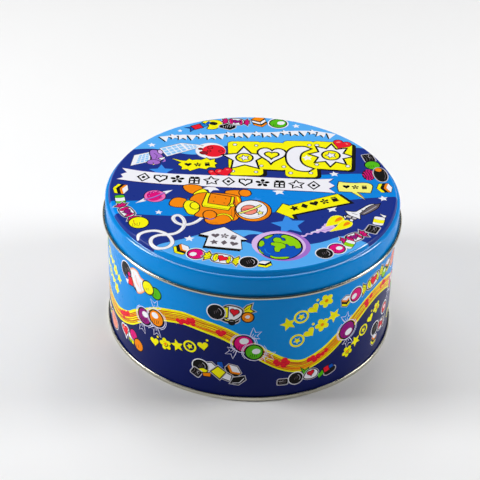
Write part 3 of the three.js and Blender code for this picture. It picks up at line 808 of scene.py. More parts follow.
    # sweets round the edge
    L.parts(ribbon_sweet(), -41.0, 77.6, 33, 1.12)
    L.parts(inked("yellow", spline([(-37.6, 84.4), (-34.0, 86.6), (-29.0, 87.8), (-24.8, 86.6), (-23.6, 82.6), (-26.2, 77.4), (-29.6, 75.0), (-33.6, 75.4), (-32.6, 79.4), (-33.8, 82.0)]), 0.4))
    L.parts(inked("black", oval(-29.7, 83.0, 2.6, 2.0, -10), 0.2) + [("seablue", A(-33.6, 86.2, -31.8, 85.0, -33.0, 80.8, -35.4, 82.6))])
    L.parts([("ochre", line([(-30.2, 77.2), (-27.6, 78.6)], 0.4))])
    L.parts(halo(inked("black", A(-25.0, 80.4, -20.2, 83.2, -14.0, 81.6, -14.2, 78.0, -17.6, 75.0, -25.2, 77.8), 0.1), 0.8, "silver"))
    L.parts(scratch(-19.4, 79.6, 8, 3.6, 5, 15, "silver", 0.35, 4))
    L.parts(halo(wrapped("white", "magenta", "magenta", "plum", 19.4, 8.6), 0.55, "silver"), -13.8, 86.6, -3)
    L.parts(allsort(("black", "white", "black", "orange"), "orange", 9.6, 7.0, (1.6, 2.6, 1.9, 1.9)), 2.8, 87.6, 14, 1.0)
    L.parts(halo(ball("green", 5.7, (0.36, 0.12, 0.50), 4, 2), 0.9), 16.3, 86.2)

    L.parts(allsort(("orange", "black", "yellow"), "white", 11.0, 4.2, (1.7, 2.4, 2.0)), -87.2, -7.6, -98, 1.0, True)
    L.parts(barrel("white", "green", 6.2, 9.6), -86.3, -20.0, 12)
    L.parts(halo(wrapped("white", "magenta", "magenta", "plum", 21.5, 7.8), 0.6, "silver"), -80.6, -34.6, -58)
    L.parts(ball("yellow", 6.1, None, 4, 6), -71.9, -46.6)
    L.parts([("ochre", line([(-75.4, -44.0), (-74.4, -48.4), (-71.4, -50.4)], 0.45))])

    L.parts(liquorice(7.4, 9.6), 78.7, 42.7, 16)
    L.parts(ball("green", 4.9, None, 4, 8), 80.8, 33.3)
    L.parts(berry(9.0, 13.6), 77.7, 20.6)
    L.parts([("silver", oval(85.7, 21.5, 5.2, 9.7, 8)), ("black", oval(85.7, 21.5, 4.5, 9.0, 8)), ("orange", oval(84.5, 27.6, 2.2, 2.4, 20)), ("grey", line([(88.2, 26.0), (88.9, 20.0), (88.2, 15.6)], 0.35))])
    L.parts(allsort(("orange", "black", "yellow"), "white", 10.6, 4.0, (1.8, 2.4, 2.2)), 87.4, 4.8, -82)

    L.parts(inked("white", A(83.8, -29.0, 82.4, -26.9, 85.0, -28.3, 86.6, -29.2, 85.4, -31.4), 0.3))
    L.parts(barrel("yellow", "white", 6.9, 9.6), 81.4, -35.2, -12)
    L.parts(liquorice(7.6, 8.4), 76.9, -45.0, -24)
    L.parts(halo(wrapped("white", "magenta", "magenta", "plum", 19.0, 7.8), 0.6, "silver"), 64.8, -54.8, 36)
    L.parts(barrel("lime", "white", 6.0, 9.0), 61.2, -62.9, 58 - 90 + 8)
    L.parts(halo(ball("magenta", 4.7, (0.30, 0.14, 0.46), 3, 9), 0.7), 53.6, -67.9)
    L.parts(black_ball(5.3, 3), 45.7, -73.6)

    L.parts(allsort(("orange", "black", "yellow"), "white", 9.8, 4.6, (1.6, 2.5, 1.9)), -43.0, -74.8, -52)
    L.parts(halo(ball("magenta", 5.0, (-0.36, -0.06, 0.46), 3, 11), 0.7), -33.7, -79.0)
    L.parts(halo(wrapped("white", "yellow", "yellow", "red", 23.5, 9.0), 0.6, "silver"), -17.6, -83.0, -14)
    L.parts(allsort(("black", "yellow"), "white", 8.4, 3.6, (2.0, 1.9)), 8.6, -87.4, 14, 1.0)
    L.parts(black_ball(5.6, 5), -1.0, -85.8)
    return L


# ------------------------------------------------------------------ the body's printing, unrolled: s runs to the right round the wall from the front, z is height

HALF_WAY = math.pi * BODY_R
PRINT_EDGE, PRINT_LOW, PRINT_HIGH = 303.2, 2.2, 93.6
WAVE = [(-125, 28.6), (-112, 27.4), (-101.5, 28.7), (-89.8, 33.8), (-81.6, 40.2), (-72.2, 46.4), (-60.5, 53.2), (-46.2, 57.2), (-37.4, 57.4), (-19.8, 54.2), (-8.1, 49.4), (3.7, 41.7), (15.4, 33.4),
        (25, 27.8), (34, 25.1), (42.3, 26.4), (54, 31.9), (65.7, 40.4), (80.4, 50.4), (90, 55.0), (101, 56.8), (112.8, 54.8), (124.5, 49.7), (143, 38.7), (160, 30.4), (172, 27.0), (183, 26.0),
        (195, 27.2), (208, 31.6), (222, 40.6), (236, 50.0), (248, 55.6), (261.6, 57.2), (275, 55.4), (288, 49.6), (301, 41.2), (313, 33.8), (327, 28.2), (340, 26.2), (353, 28.0), (366, 33.4),
        (380, 42.2), (394, 50.8), (407, 55.9), (419, 57.2), (431, 55.8), (444, 50.6), (458, 42.0), (472, 33.6), (484.47, 28.6)]
_wave = spline(WAVE, False, 1.5)
_wave = np.concatenate([_wave - (2 * HALF_WAY, 0), _wave, _wave + (2 * HALF_WAY, 0)])
_wave = _wave[np.argsort(_wave[:, 0])]


def wave(s):
    return float(np.interp(s, _wave[:, 0], _wave[:, 1]))


def along(s, d):
    """A point d from the ribbon's middle line, square to it."""
    m = (wave(s + 1) - wave(s - 1)) / 2
    k = math.hypot(1, m)
    return (s - d * m / k, wave(s) + d / k)


def to_back(s):
    """The place round the back that has the same part of the wave."""
    b = float(np.interp(s, (-112, -38, 34, 103), (183, 261.6, 340, 419)))
    return b - 2 * HALF_WAY if b > HALF_WAY else b


def streamers(x0, y0, x1, y1, h, stroke=1.5, edge=None, seed=1):
    """A row of flowers, stars, hearts and ringed stars going up a slope."""
    rng = random.Random(seed)
    n = max(2, round(math.hypot(x1 - x0, y1 - y0) / (h * 0.92)))
    a = math.degrees(math.atan2(y1 - y0, x1 - x0))
    out = []
    for i in range(n):
        t = (i + 0.5) / n
        x, y = x0 + (x1 - x0) * t, y0 + (y1 - y0) * t
        k = (i + seed) % 4
        if k == 0:
            shapes = [turned(oval(0.27 * h, 0, 0.21 * h, 0.175 * h), a + t) for t in (90, 18, 162, 234, 306)] + [oval(0, 0, 0.16 * h)]
        elif k == 1:
            shapes = [turned(star(0, 0, 0.50 * h, rng.uniform(-10, 10), 0.46), a)]
        elif k == 2:
            ring = [(0.40 * h * math.cos(t), 0.40 * h * math.sin(t)) for t in np.linspace(0, TAU, 17)[:-1]]
            shapes = [line(ring, stroke * 0.9, closed=True), turned(star(0, 0, 0.24 * h, 10, 0.5), a)]
        else:
            shapes = [turned(heart(0, 0, 0.74 * h, rng.uniform(-14, 14)), a), turned(oval(0.42 * h, 0.46 * h, 0.09 * h), a)]
        for p in shapes:
            p = [r + (x, y) for r in p] if isinstance(p, list) else p + (x, y)
            if edge:
                out.append((edge, [r + (0.3, -0.25) for r in p] if isinstance(p, list) else grow(p, 0.3) + (0.25, -0.2)))
            out.append(("yellow", p))
        if k == 0:
            out.append(("orange", oval(0, 0, 0.11 * h) + (x, y)))
    return out


def body_art():
    B = Art()

    def clamp(p):
        return np.stack([np.clip(p[:, 0], -PRINT_EDGE, PRINT_EDGE), np.clip(p[:, 1], PRINT_LOW, PRINT_HIGH)], 1)

    ss = np.arange(-PRINT_EDGE - 4, PRINT_EDGE + 4.01, 1.6)
    mid_line = np.array([(s, wave(s)) for s in ss])
    B.add("bodynavy", clamp(np.array([*mid_line, (PRINT_EDGE + 4, PRINT_LOW), (-PRINT_EDGE - 4, PRINT_LOW)])))
    top = np.array([along(s, 4.95) for s in ss])
    low = np.array([along(s, -4.95) for s in ss])
    B.add("yellow", clamp(np.array([*top, *low[::-1]])))
    rng = random.Random(11)
    for lane, w, c in ((-3.3, 0.55, "ochre"), (-2.1, 0.75, "rust"), (-0.9, 0.6, "ochre"), (0.4, 0.75, "rust"), (1.7, 0.6, "ochre"), (2.9, 0.6, "rust")):
        pts = [along(s, lane + 0.22 * math.sin(s / 17.0 + lane)) for s in np.arange(-PRINT_EDGE - 2, PRINT_EDGE + 2.1, 2.4)]
        B.add(c, clamp(line(pts, w, smooth=False)))
    for lane, wmin, wmax, c in ((-2.6, 0.5, 0.9, "orange"), (-1.4, 0.7, 1.2, "orange"), (1.0, 0.7, 1.3, "orange"), (2.3, 0.5, 0.9, "ochre")):
        s = -PRINT_EDGE - rng.uniform(0, 30)
        while s < PRINT_EDGE:
            length = rng.uniform(24, 62)
            w = rng.uniform(wmin, wmax)
            drift = rng.uniform(-0.55, 0.55)
            bow = rng.uniform(-0.4, 0.4)
            n = max(6, int(length / 3.2))
            pts = [along(s + length * k / n, lane + drift * (2 * k / n - 1) + bow * math.sin(math.pi * k / n)) for k in range(n + 1)]
            p = line(pts, w, smooth=False, taper=lambda t: 0.22 + 0.78 * math.sin(math.pi * min(1, max(0, t))) ** 0.6)
            B.add(c if rng.random() < 0.7 else ("ochre" if c == "orange" else "orange"), clamp(p))
            s += length + rng.uniform(2, 11)

    clusters = [[(-46.2, 54.6, 1.5), (-44.1, 54, 1.8), (-42.4, 55.4, 1.8), (-39.5, 55.4, 1.9), (-38, 57.2, 2.2), (-35.9, 57.8, 2.1), (-35.3, 55.1, 1.5)],
                [(-18.6, 53.4, 1.8), (-17.2, 52.2, 2), (-15.4, 53.4, 1.8)],
                [(18.5, 31.1, 1.8), (19.7, 29, 1.6), (21.7, 29.3, 1.5), (24.1, 31.4, 2.2), (25.8, 29.3, 2.1), (23.8, 27.6, 2)],
                [(41.1, 28.2, 1.9), (43.4, 29.3, 1.8), (44.9, 27.3, 2), (47.5, 29.3, 2), (50.5, 30.2, 1.6), (53.1, 32, 1.6)],
                [(87, 55.1, 2.4), (87.9, 52.2, 2), (92, 57.5, 1.8)],
                [(108.1, 58.4, 2), (111, 56.9, 2), (105.4, 57.2, 1.6)],
                [(-102.1, 30.2, 1.9), (-99.2, 31.7, 2), (-96.3, 32.9, 2.2), (-98.6, 29.3, 1.7), (-92.1, 35.8, 1.9), (-94.0, 34.2, 1.7)]]
    extra = [[(150.0, 35.6, 1.9), (152.4, 34.2, 2.0), (155.0, 33.6, 1.8), (157.0, 31.8, 1.7)],
             [(-171.0, 54.2, 1.9), (-168.6, 53.0, 2.1), (-166.0, 51.4, 1.8)], [(-146.0, 39.0, 1.8), (-144.4, 37.2, 2.0), (-141.8, 36.6, 1.7)]]

    def cluster(c):
        for x, y, r in c:
            B.add("red", oval(x, y, r + 0.1))
        for x, y, r in c:
            B.add("darkred", line([(x + r * 0.72 * math.cos(t), y + r * 0.72 * math.sin(t)) for t in np.linspace(-2.4, -0.7, 5)], 0.22))

    for c in clusters + extra:
        cluster(c)
    for c in clusters:
        s0 = c[0][0]
        if -112 < s0 < 104:
            sb = to_back(s0)
            moved = [(x - s0 + sb, y - wave(s0) + wave(sb), r) for x, y, r in c]
            if all(abs(x) < PRINT_EDGE - 4 for x, _, _ in moved):
                cluster(moved)

    def film(s, z, colour, r, light, bows, flat=1.0):
        B.parts(cellophane(colour, r, light, bows), s, z)

    pair_a = (("plum", -74.3, 44.3, 5.4, (0.15, 0.36), (255,)), ("orange", -63.4, 48.4, 5.5, (-0.2, 0.33), (92, 268)))
    pair_b = (("magenta", -2.5, 46.1, 5.7, (0.05, 0.36), (48, 225)), ("green", 4.3, 39.6, 5.2, (0.26, 0.12), (-20,)))
    single = (("plum", 69.5, 41.6, 5.9, (0.25, -0.36), (98, 278)),)
    for g in (pair_a, pair_b, single):
        for c, s, z, r, light, bows in g:
            film(s, z, c, r, light, bows)
    for g, s_new in ((pair_a, to_back(-68)), (pair_b, 286.0), (single, to_back(69.5)), (pair_b, 133.0), (pair_a, -158.0)):
        s_mid = sum(q[1] for q in g) / len(g)
        flip = -1 if (wave(s_new + 2) - wave(s_new - 2)) * (wave(s_mid + 2) - wave(s_mid - 2)) < 0 else 1
        for c, s, z, r, light, bows in g:
            ds = (s - s_mid) * flip
            film(s_new + ds, wave(s_new + ds) + (z - wave(s)), c, r, light, tuple((180 - b) if flip < 0 else b for b in bows))

    # groups of loose sweets, each about its own middle
    def g1():
        p = []
        add = lambda parts, x, y, rot=0, s=1.0: p.extend((c, [turned(r * s, rot) + (x, y) for r in (q if isinstance(q, list) else [q])]) for c, q in parts)
        add(halo(inked("peach", spline([(-6.6, 2.6), (-3.8, 6.6), (0.6, 7.2), (4.4, 4.0), (8.2, 3.4), (9.4, -0.4), (8.2, -4.0), (5.0, -7.6), (1.4, -9.4), (-1.6, -6.4)]), 0.5, "orange"), 0.1, "orange"), 0, 0)
        p.append(("white", [spline([(-5.8, 2.4), (-3.4, 5.6), (0.4, 6.2), (4.2, 3.0), (7.6, 2.4), (8.4, -0.6), (7.2, -3.8), (4.4, -6.8), (1.4, -8.4), (-1.0, -6.0)])]))
        for k in range(4):
            p.append(("orange" if k % 2 else "peach", [line([(-3.2 + 2.4 * k, 4.4 - 1.4 * k), (-1.8 + 2.3 * k, 0.2 - 1.6 * k), (0.6 + 1.8 * k, -3.0 - 0.9 * k)], 0.45)]))
        add(black_ball(6.1, 3), -11.6, 0.2)
        add(inked("magenta", oval(0, 0, 1.5), 0.3), -8.0, -0.6)
        add(inked("red", A(-2.6, 2.8, 2.4, 3.0, 2.7, -2.8, -2.4, -2.7), 0.4), -6.6, -5.4, 14)
        add(inked("seablue", A(-1.4, 2.4, 1.2, 1.2, 0.6, -2.2, -1.6, -1.0), 0.3), -10.4, -5.0, 10)
        add([("white", A(-1.8, 0.6, 1.8, 1.6, 1.0, -2.4, -0.8, -1.2))], -10.6, -7.2)
        add([("black", A(-2.2, 0.2, 0.2, 1.2, 2.0, -2.8, -0.4, -1.2))], -0.8, -8.0, 10)
        add(ball("green", 4.0, None, 2, 5), 18.4, -0.8)
        add(ball("yellow", 4.6, None, 3, 4), 11.4, 0.1)
        return p

    def g2():
        p = []
        add = lambda parts, x, y, rot=0, s=1.0: p.extend((c, [turned(r * s, rot) + (x, y) for r in (q if isinstance(q, list) else [q])]) for c, q in parts)
        add(halo(inked("black", spline([(-9, -4), (-2, 1), (4, -5), (1, -8), (-5, -7)]), 0.2), 0.7, "silver"), 0, 0)
        add(halo(inked("yellow", A(5.4, 0.6, 9.6, 5.4, 12.0, 6.6, 11.0, 3.0, 13.2, 1.4, 8.4, -0.6), 0.4), 0.6, "silver"), 0, 0)
        add(halo(inked("white", spline([(-6.0, 1.0), (-3.4, 4.4), (1.6, 4.6), (6.0, 2.2), (5.0, -2.2), (0.6, -5.6), (-4.4, -4.0)]), 0.5), 0.6, "silver"), 0, 0)
        add(inked("yellow", A(-5.8, 3.0, -2.6, 3.6, -3.0, -3.8, -6.8, -4.6), 0.4), 0, 0)
        add([("black", line([(-5.2, 1.8), (-4.6, -3.2)], 0.35)), ("black", line([(7.4, 1.6), (10.8, 4.4)], 0.35, smooth=False))], 0, 0)
        add(inked("red", heart(0, 0, 5.4, -8), 0.35), 1.4, 0.2)
        add(black_ball(5.6, 7), -10.2, -0.8)
        add([("yellow", line([(-4.4, -6.0), (0.8, -5.6)], 0.6, smooth=False))], 0, 0)
        add(inked("black", oval(0, 0, 2.1), 0.2) + [("silver", line([(-1.0, 0.8), (0.9, 0.9)], 0.3))], -0.4, -7.6)
        add(ball("orange", 3.5, (0.0, 0.1, 0.42), 2, 4), 9.6, -3.2)
        return p

    def g3():
        p = []
        add = lambda parts, x, y, rot=0, s=1.0: p.extend((c, [turned(r * s, rot) + (x, y) for r in (q if isinstance(q, list) else [q])]) for c, q in parts)
        add(halo(inked("white", A(-9.6, 5.8, -4.4, 7.2, -1.2, 4.2, -6.4, -1.4, -11.0, 1.6), 0.4), 0.5, "silver"), 0, 0)
        add(halo(allsort(("orange", "black"), "white", 9.6, 5.2, (1.8, 1.8)), 0.5, "silver"), 9.6, 3.2, -38)
        add(inked("seablue", A(-1.6, 2.2, 1.8, 2.4, 2.4, -2.0, -1.2, -2.2), 0.35), 1.0, 6.8, 6)
        add(halo(inked("white", A(-3.4, 2.8, 2.8, 1.6, 3.4, -2.6, -2.2, -2.8), 0.4), 0.5, "silver"), 5.6, -1.8, -20)
        add(black_ball(5.3, 9), -11.8, 2.6)
        add(inked("yellow", A(-3.2, 1.2, 0.4, 2.2, 3.4, 0.4, 1.0, -1.6), 0.35), -10.0, -0.8, 8)
        add(liquorice(6.6, 5.8), -14.6, -3.2, -30)
        add(inked("orange", A(-2.6, 0.9, 2.8, 1.2, 2.0, -1.6, -2.4, -1.4), 0.4), -7.4, -3.0, 10)
        add(halo(inked("yellow", A(-4.4, 0.4, 0.4, 4.6, 4.8, 0.6, 0.6, -4.8), 0.45), 0.5, "silver"), 0, 0.2, 6)
        add(halo(inked("black", A(-5.4, -0.6, -1.6, 2.6, 5.2, 1.0, 4.6, -1.6, -1.2, -3.4), 0.2), 0.6, "silver") + [("white", line([(-4.2, -1.0), (0.2, -2.4), (4.2, -0.4)], 0.5, smooth=False))], 12.8, -4.2, 28)
        return p

    def g4():
        p = []
        add = lambda parts, x, y, rot=0, s=1.0: p.extend((c, [turned(r * s, rot) + (x, y) for r in (q if isinstance(q, list) else [q])]) for c, q in parts)
        add(liquorice(4.6, 6.8), -16.4, -2.0, 88)
        add(inked("green", A(-2.2, 4.4, 0.4, 1.6, 3.0, 3.2, 2.2, -1.4, 0.2, -3.4, -0.6, 0.4), 0.4), -2.2, 2.6)
        add(inked("green", A(-3.4, 1.6, 0.2, 0.8, 1.8, 2.8, 3.2, -0.4, -0.2, -3.0, -1.2, -1.0), 0.4), 9.4, -2.2)
        add(black_ball(4.7, 4), -7.6, -0.6)
        add(halo(inked("white", spline([(-4.6, -2.0), (-2.0, 3.0), (2.4, 3.0), (5.0, 0.0), (3.6, -3.2), (-0.6, -3.8)]), 0.42), 0.4, "silver"), 2.8, 0.4)
        add(inked("red", heart(0, 0, 4.6, 10), 0.3), 2.8, 0.8)
        add(halo(inked("black", spline([(-3.8, 0.2), (0, 1.8), (4.2, 1.4), (3.6, -1.6), (-2.6, -1.8)]), 0.2), 0.6, "silver"), 17.0, -2.4, 14)
        add(inked("red", A(-2.2, 2.0, 2.0, 2.2, 2.2, -2.0, -2.0, -2.2), 0.4), 14.6, 0.3, 14)
        add(inked("seablue", A(-1.6, 1.4, 1.2, 1.6, 1.8, -1.2, -1.2, -1.4), 0.3), 18.0, 1.2, 10)
        return p

    def g5():
        p = []
        add = lambda parts, x, y, rot=0, s=1.0: p.extend((c, [turned(r * s, rot) + (x, y) for r in (q if isinstance(q, list) else [q])]) for c, q in parts)
        add(halo(allsort(("orange", "black", "yellow"), "white", 7.2, 3.8, (1.5, 1.9, 1.5)), 0.35, "silver"), -17.0, -0.8, 4)
        add(halo(wrapped("white", "yellow", "yellow", "red", 27.0, 8.4), 0.5, "silver"), 9.6, 1.2, 6)
        add(halo(ball("magenta", 4.5, (-0.36, -0.12, 0.5), 2, 8), 0.8), -8.4, 0.2)
        return p

    def g6():
        p = []
        add = lambda parts, x, y, rot=0, s=1.0: p.extend((c, [turned(r * s, rot) + (x, y) for r in (q if isinstance(q, list) else [q])]) for c, q in parts)
        add(halo(allsort(("orange", "black", "yellow"), "white", 8.4, 4.2, (1.5, 2.0, 1.6)), 0.4, "silver"), -6.4, 0.6, -2)
        add(halo(inked("salmon", spline([(-2, 1), (2, 5), (7, 4), (12, 1), (11, -4), (5, -6), (0, -4)]), 0.42), 0.5), 1.6, -0.6)
        for k in range(3):
            p.append(("red", [line([(4.2 + 2.6 * k, 2.6 - 0.5 * k), (5.4 + 2.4 * k, -0.6), (4.6 + 2.4 * k, -3.4)], 0.4)]))
        add(ball("lime", 3.4, (0.2, 0.3, 0.4), 2, 3), -12.8, -1.0)
        return p

    def g7():
        p = []
        add = lambda parts, x, y, rot=0, s=1.0: p.extend((c, [turned(r * s, rot) + (x, y) for r in (q if isinstance(q, list) else [q])]) for c, q in parts)
        add(halo(wrapped("white", "red", "silver", "red", 17.0, 7.6), 0.5, "silver"), 5.6, -0.8, -14)
        add(halo(allsort(("orange", "black", "yellow"), "white", 7.0, 3.6, (1.4, 1.7, 1.5)), 0.4, "silver"), -4.6, -7.2, -20)
        add(black_ball(4.9, 8), -4.2, 2.0)
        add(halo(ball("red", 3.7, (0.1, 0.1, 0.45), 2, 8), 0.8), 9.6, 10.6)
        return p

    def g8():
        p = []
        add = lambda parts, x, y, rot=0, s=1.0: p.extend((c, [turned(r * s, rot) + (x, y) for r in (q if isinstance(q, list) else [q])]) for c, q in parts)
        add(halo(inked("red", heart(0, 0, 8.4, 12), 0.3), 0.9), -8.6, 0.2)
        p.append(("blush", [turned(oval(-1.8, 1.8, 1.4, 0.8, 40), 12) + (-8.6, 0.2)]))
        add(halo(inked("white", A(-3.4, 2.8, 2.4, 3.4, 3.2, -1.4, -2.6, -2.4), 0.4), 0.4, "silver"), -1.0, -1.0)
        add(inked("yellow", A(-3.0, 0.8, 2.6, 0.6, 2.4, -1.8, -2.4, -1.6), 0.35) + inked("green", A(-2.6, -0.6, 0.2, -0.7, 0.1, -2.0, -2.4, -1.9), 0.25), -0.6, -3.0)
        add(ball("magenta", 3.8, None, 2, 5), 1.8, 3.4)
        add(ball("orange", 4.3, None, 2, 9), 7.4, -1.8)
        return p

    groups = {"g1": g1(), "g2": g2(), "g3": g3(), "g4": g4(), "g5": g5(), "g6": g6(), "g7": g7(), "g8": g8()}

    def put(name, s, z, rot=0, scale=1.0):
        B.parts(groups[name], s, z, rot, scale)

    put("g1", -81.8, 69.4, -2)
    put("g2", -10.2, 70.0, 2)
    put("g3", -18.4, 20.4)
    put("g4", 40.0, 15.8)
    put("g5", 83.6, 67.4, 2)
    put("g6", 121.0, 67.6)
    put("g7", 106.2, 22.4)
    put("g8", -88.2, 18.4)
    B.parts(streamers(21.0, 58.5, 55.0, 74.5, 11.0, 1.6, None, 1))
    B.parts(streamers(27.5, 44.0, 61.5, 60.5, 11.0, 1.6, None, 2))
    B.parts(streamers(-69.5, 27.0, -24.0, 41.0, 9.8, 1.45, "black", 3))
    B.parts(streamers(67.5, 20.5, 105.0, 45.0, 9.4, 1.45, "black", 4))
    B.parts(streamers(-128.0, 66.0, -101.0, 55.0, 8.6, 1.4, None, 2))
    B.parts(streamers(-133.0, 54.5, -106.0, 44.0, 8.6, 1.4, None, 5))

    # round the back
    put("g5", to_back(-86) , 69.0, -3)
    put("g6", to_back(-10) - 8, 69.0, 4)
    put("g8", to_back(-18) - 10, 19.6)
    put("g3", to_back(38), 13.6)
    put("g2", to_back(80), 69.4, 3)
    put("g1", 158.0, 66.0, 3)
    put("g4", 168.0, 13.6)
    put("g7", to_back(-86), 17.0)
    put("g1", -151.0, 70.0, -4, 0.96)
    put("g6", -124.0, 14.4)
    put("g7", -190.0, 27.0)
    B.parts(streamers(170.0, 56.0, 196.0, 44.0, 9.0, 1.4, None, 1))
    B.parts(streamers(126.0, 18.0, 150.0, 24.0, 7.4, 1.3, "black", 2))
    B.parts(streamers(232.0, 27.0, 272.0, 42.0, 9.0, 1.35, "black", 3))
    B.parts(streamers(-281.0, 56.0, -252.0, 71.0, 9.6, 1.5, None, 1))
    B.parts(streamers(-275.0, 42.0, -246.0, 56.0, 9.6, 1.5, None, 2))
    B.parts(streamers(-234.0, 24.0, -204.0, 40.0, 8.8, 1.35, "black", 4))
    B.parts(streamers(-171.0, 35.5, -148.5, 23.0, 8.4, 1.35, "black", 5))
    for x, z, r in ((148, 52, 1.8), (-186, 76, 2.0), (220, 60, 2.0), (300, 62, 1.6), (-300, 16, 1.6), (-206, 76, 1.8)):
        B.add("yellow", star(x, z, r * 1.15, 8, 0.45))
    return B


# ------------------------------------------------------------------ outlines to triangles


def tidy(p, least=0.03):
    out = [p[0]]
    for q in p[1:]:
        if abs(q[0] - out[-1][0]) + abs(q[1] - out[-1][1]) > least:
            out.append(q)
    while len(out) > 3 and abs(out[0][0] - out[-1][0]) + abs(out[0][1] - out[-1][1]) <= least:
        out.pop()
    return np.array(out)


def winding(pts, ring):
    """How many times the ring goes round each point."""
    w = np.zeros(len(pts), np.int32)
    x, y = pts[:, 0], pts[:, 1]
    for (x0, y0), (x1, y1) in zip(ring, np.roll(ring, -1, 0)):
        if y0 == y1:
            continue
        left = (x1 - x0) * (y - y0) - (x - x0) * (y1 - y0)
        if y1 > y0:
            w += (y0 <= y) & (y < y1) & (left > 0)
        else:
            w -= (y1 <= y) & (y < y0) & (left < 0)
    return w


def tessellate(shapes, points, edges, base):
    """points and edges are the fixed ones (boundary and grid). Returns (xy, triangles, colour of each, output index of each fixed point)."""
    verts = [Vector((float(x), float(y))) for x, y in points]
    lines = list(edges)
    rings_of = []
    for colour, rings, _ in shapes:
        kept = []
        for r in rings:
            r = tidy(np.asarray(r, float))
            if len(r) < 3:
                continue
            k = len(verts)
            verts += [Vector((float(x), float(y))) for x, y in r]
            lines += [(k + i, k + (i + 1) % len(r)) for i in range(len(r))]
            kept.append(r)
        rings_of.append(kept)
    out = delaunay_2d_cdt(verts, lines, [], 0, 1e-4, True)
    xy = np.array([tuple(v) for v in out[0]], float)
    tris = np.array([f for f in out[2] if len(f) == 3], np.int64)
    where = {}
    for i, srcs in enumerate(out[3]):
        for s in srcs:
            if s < len(points):
                where[s] = i
    a, b, c = xy[tris[:, 0]], xy[tris[:, 1]], xy[tris[:, 2]]
    cross = (b[:, 0] - a[:, 0]) * (c[:, 1] - a[:, 1]) - (b[:, 1] - a[:, 1]) * (c[:, 0] - a[:, 0])
    flip = cross < 0
    tris[flip] = tris[flip][:, ::-1]
    mid = (a + b + c) / 3
    colour = np.full(len(tris), -1, np.int32)
    free = np.arange(len(tris))
    for (name, _, _), rings in zip(reversed(shapes), reversed(rings_of)):
        if not rings:
            continue
        allp = np.concatenate(rings)
        lo, hi = allp.min(0), allp.max(0)
        m = mid[free]
        near = free[(m[:, 0] >= lo[0]) & (m[:, 0] <= hi[0]) & (m[:, 1] >= lo[1]) & (m[:, 1] <= hi[1])]
        if not len(near):
            continue
        w = np.zeros(len(near), np.int32)
        for r in rings:
            w += winding(mid[near], r)
        hit = near[w != 0]
        if len(hit):
            colour[hit] = INK_ORDER.index(name)
            free = free[colour[free] < 0]
    for i in free:
        colour[i] = base(mid[i])
    return xy, tris, colour, where


# ------------------------------------------------------------------ sheet sections, as in the CAD


def bends(corners):
    """A line through corners (r, z, bend radius, steps), rounded at each bend."""
    out = []
    for i, c in enumerate(corners):
        p = np.array(c[:2], float)
        rad = c[2] if len(c) > 2 else 0
        if not rad or i in (0, len(corners) - 1):
            out.append(p)
            continue
        a, b = np.array(corners[i - 1][:2], float) - p, np.array(corners[i + 1][:2], float) - p
        a /= np.linalg.norm(a)
        b /= np.linalg.norm(b)
        half = math.acos(max(-1, min(1, float(a @ b)))) / 2
        t = rad / math.tan(half)
        centre = p + (a + b) / np.linalg.norm(a + b) * (rad / math.sin(half))
        s, e = p + a * t - centre, p + b * t - centre
        a0, a1 = math.atan2(s[1], s[0]), math.atan2(e[1], e[0])
        d = (a1 - a0 + math.pi) % TAU - math.pi
        steps = c[3] if len(c) > 3 else max(3, int(abs(d) / math.radians(9)))
        out += [centre + rad * np.array([math.cos(a0 + d * k / steps), math.sin(a0 + d * k / steps)]) for k in range(steps + 1)]
    return np.array(out)


def arc(r, z, radius, start, end, steps):
    t = np.radians(np.linspace(start, end, steps + 1))
    return np.stack([r + radius * np.cos(t), z + radius * np.sin(t)], 1)


def directions(p):
    d = np.diff(p, axis=0)
    return d / np.maximum(np.linalg.norm(d, axis=1), 1e-12)[:, None]


def offset(p, by):
    """The line moved to its own left, with mitred corners."""
    d = directions(p)
    n = np.stack([-d[:, 1], d[:, 0]], 1)
    m = np.zeros_like(p)
    m[0], m[-1] = n[0], n[-1]
    s = n[:-1] + n[1:]
    m[1:-1] = s / np.maximum(1 + np.sum(n[:-1] * n[1:], 1), 0.2)[:, None]
    return p + m * by


class Mesher:
    """Gathers triangles and quads with a normal at every corner, then makes one mesh."""

    def __init__(self):
        self.v, self.f, self.m, self.n = [], [], [], []
        self.count = 0

    def verts(self, pts):
        pts = np.asarray(pts, float)
        self.v.append(pts)
        k = self.count
        self.count += len(pts)
        return np.arange(k, k + len(pts))

    def face(self, idx, mat, normals):
        self.f.append(tuple(int(i) for i in idx))
        self.m.append(mat)
        self.n.extend(normals)

    def build(self, name, materials):
        v = np.concatenate(self.v) * MM
        me = bpy.data.meshes.new(name)
        me.from_pydata(v.tolist(), [], self.f)
        for m in materials:
            me.materials.append(m)
        me.polygons.foreach_set("material_index", self.m)
        me.polygons.foreach_set("use_smooth", [True] * len(self.f))
        me.validate(clean_customdata=False)
        me.update()
        nn = np.array(self.n, float)
        nn /= np.maximum(np.linalg.norm(nn, axis=1), 1e-9)[:, None]
        if len(nn) == len(me.loops):
            me.normals_split_custom_set(nn.tolist())
        else:
            print("custom normals left out", name, len(nn), len(me.loops))
        ob = bpy.data.objects.new(name, me)
        bpy.context.scene.collection.objects.link(ob)
        return ob


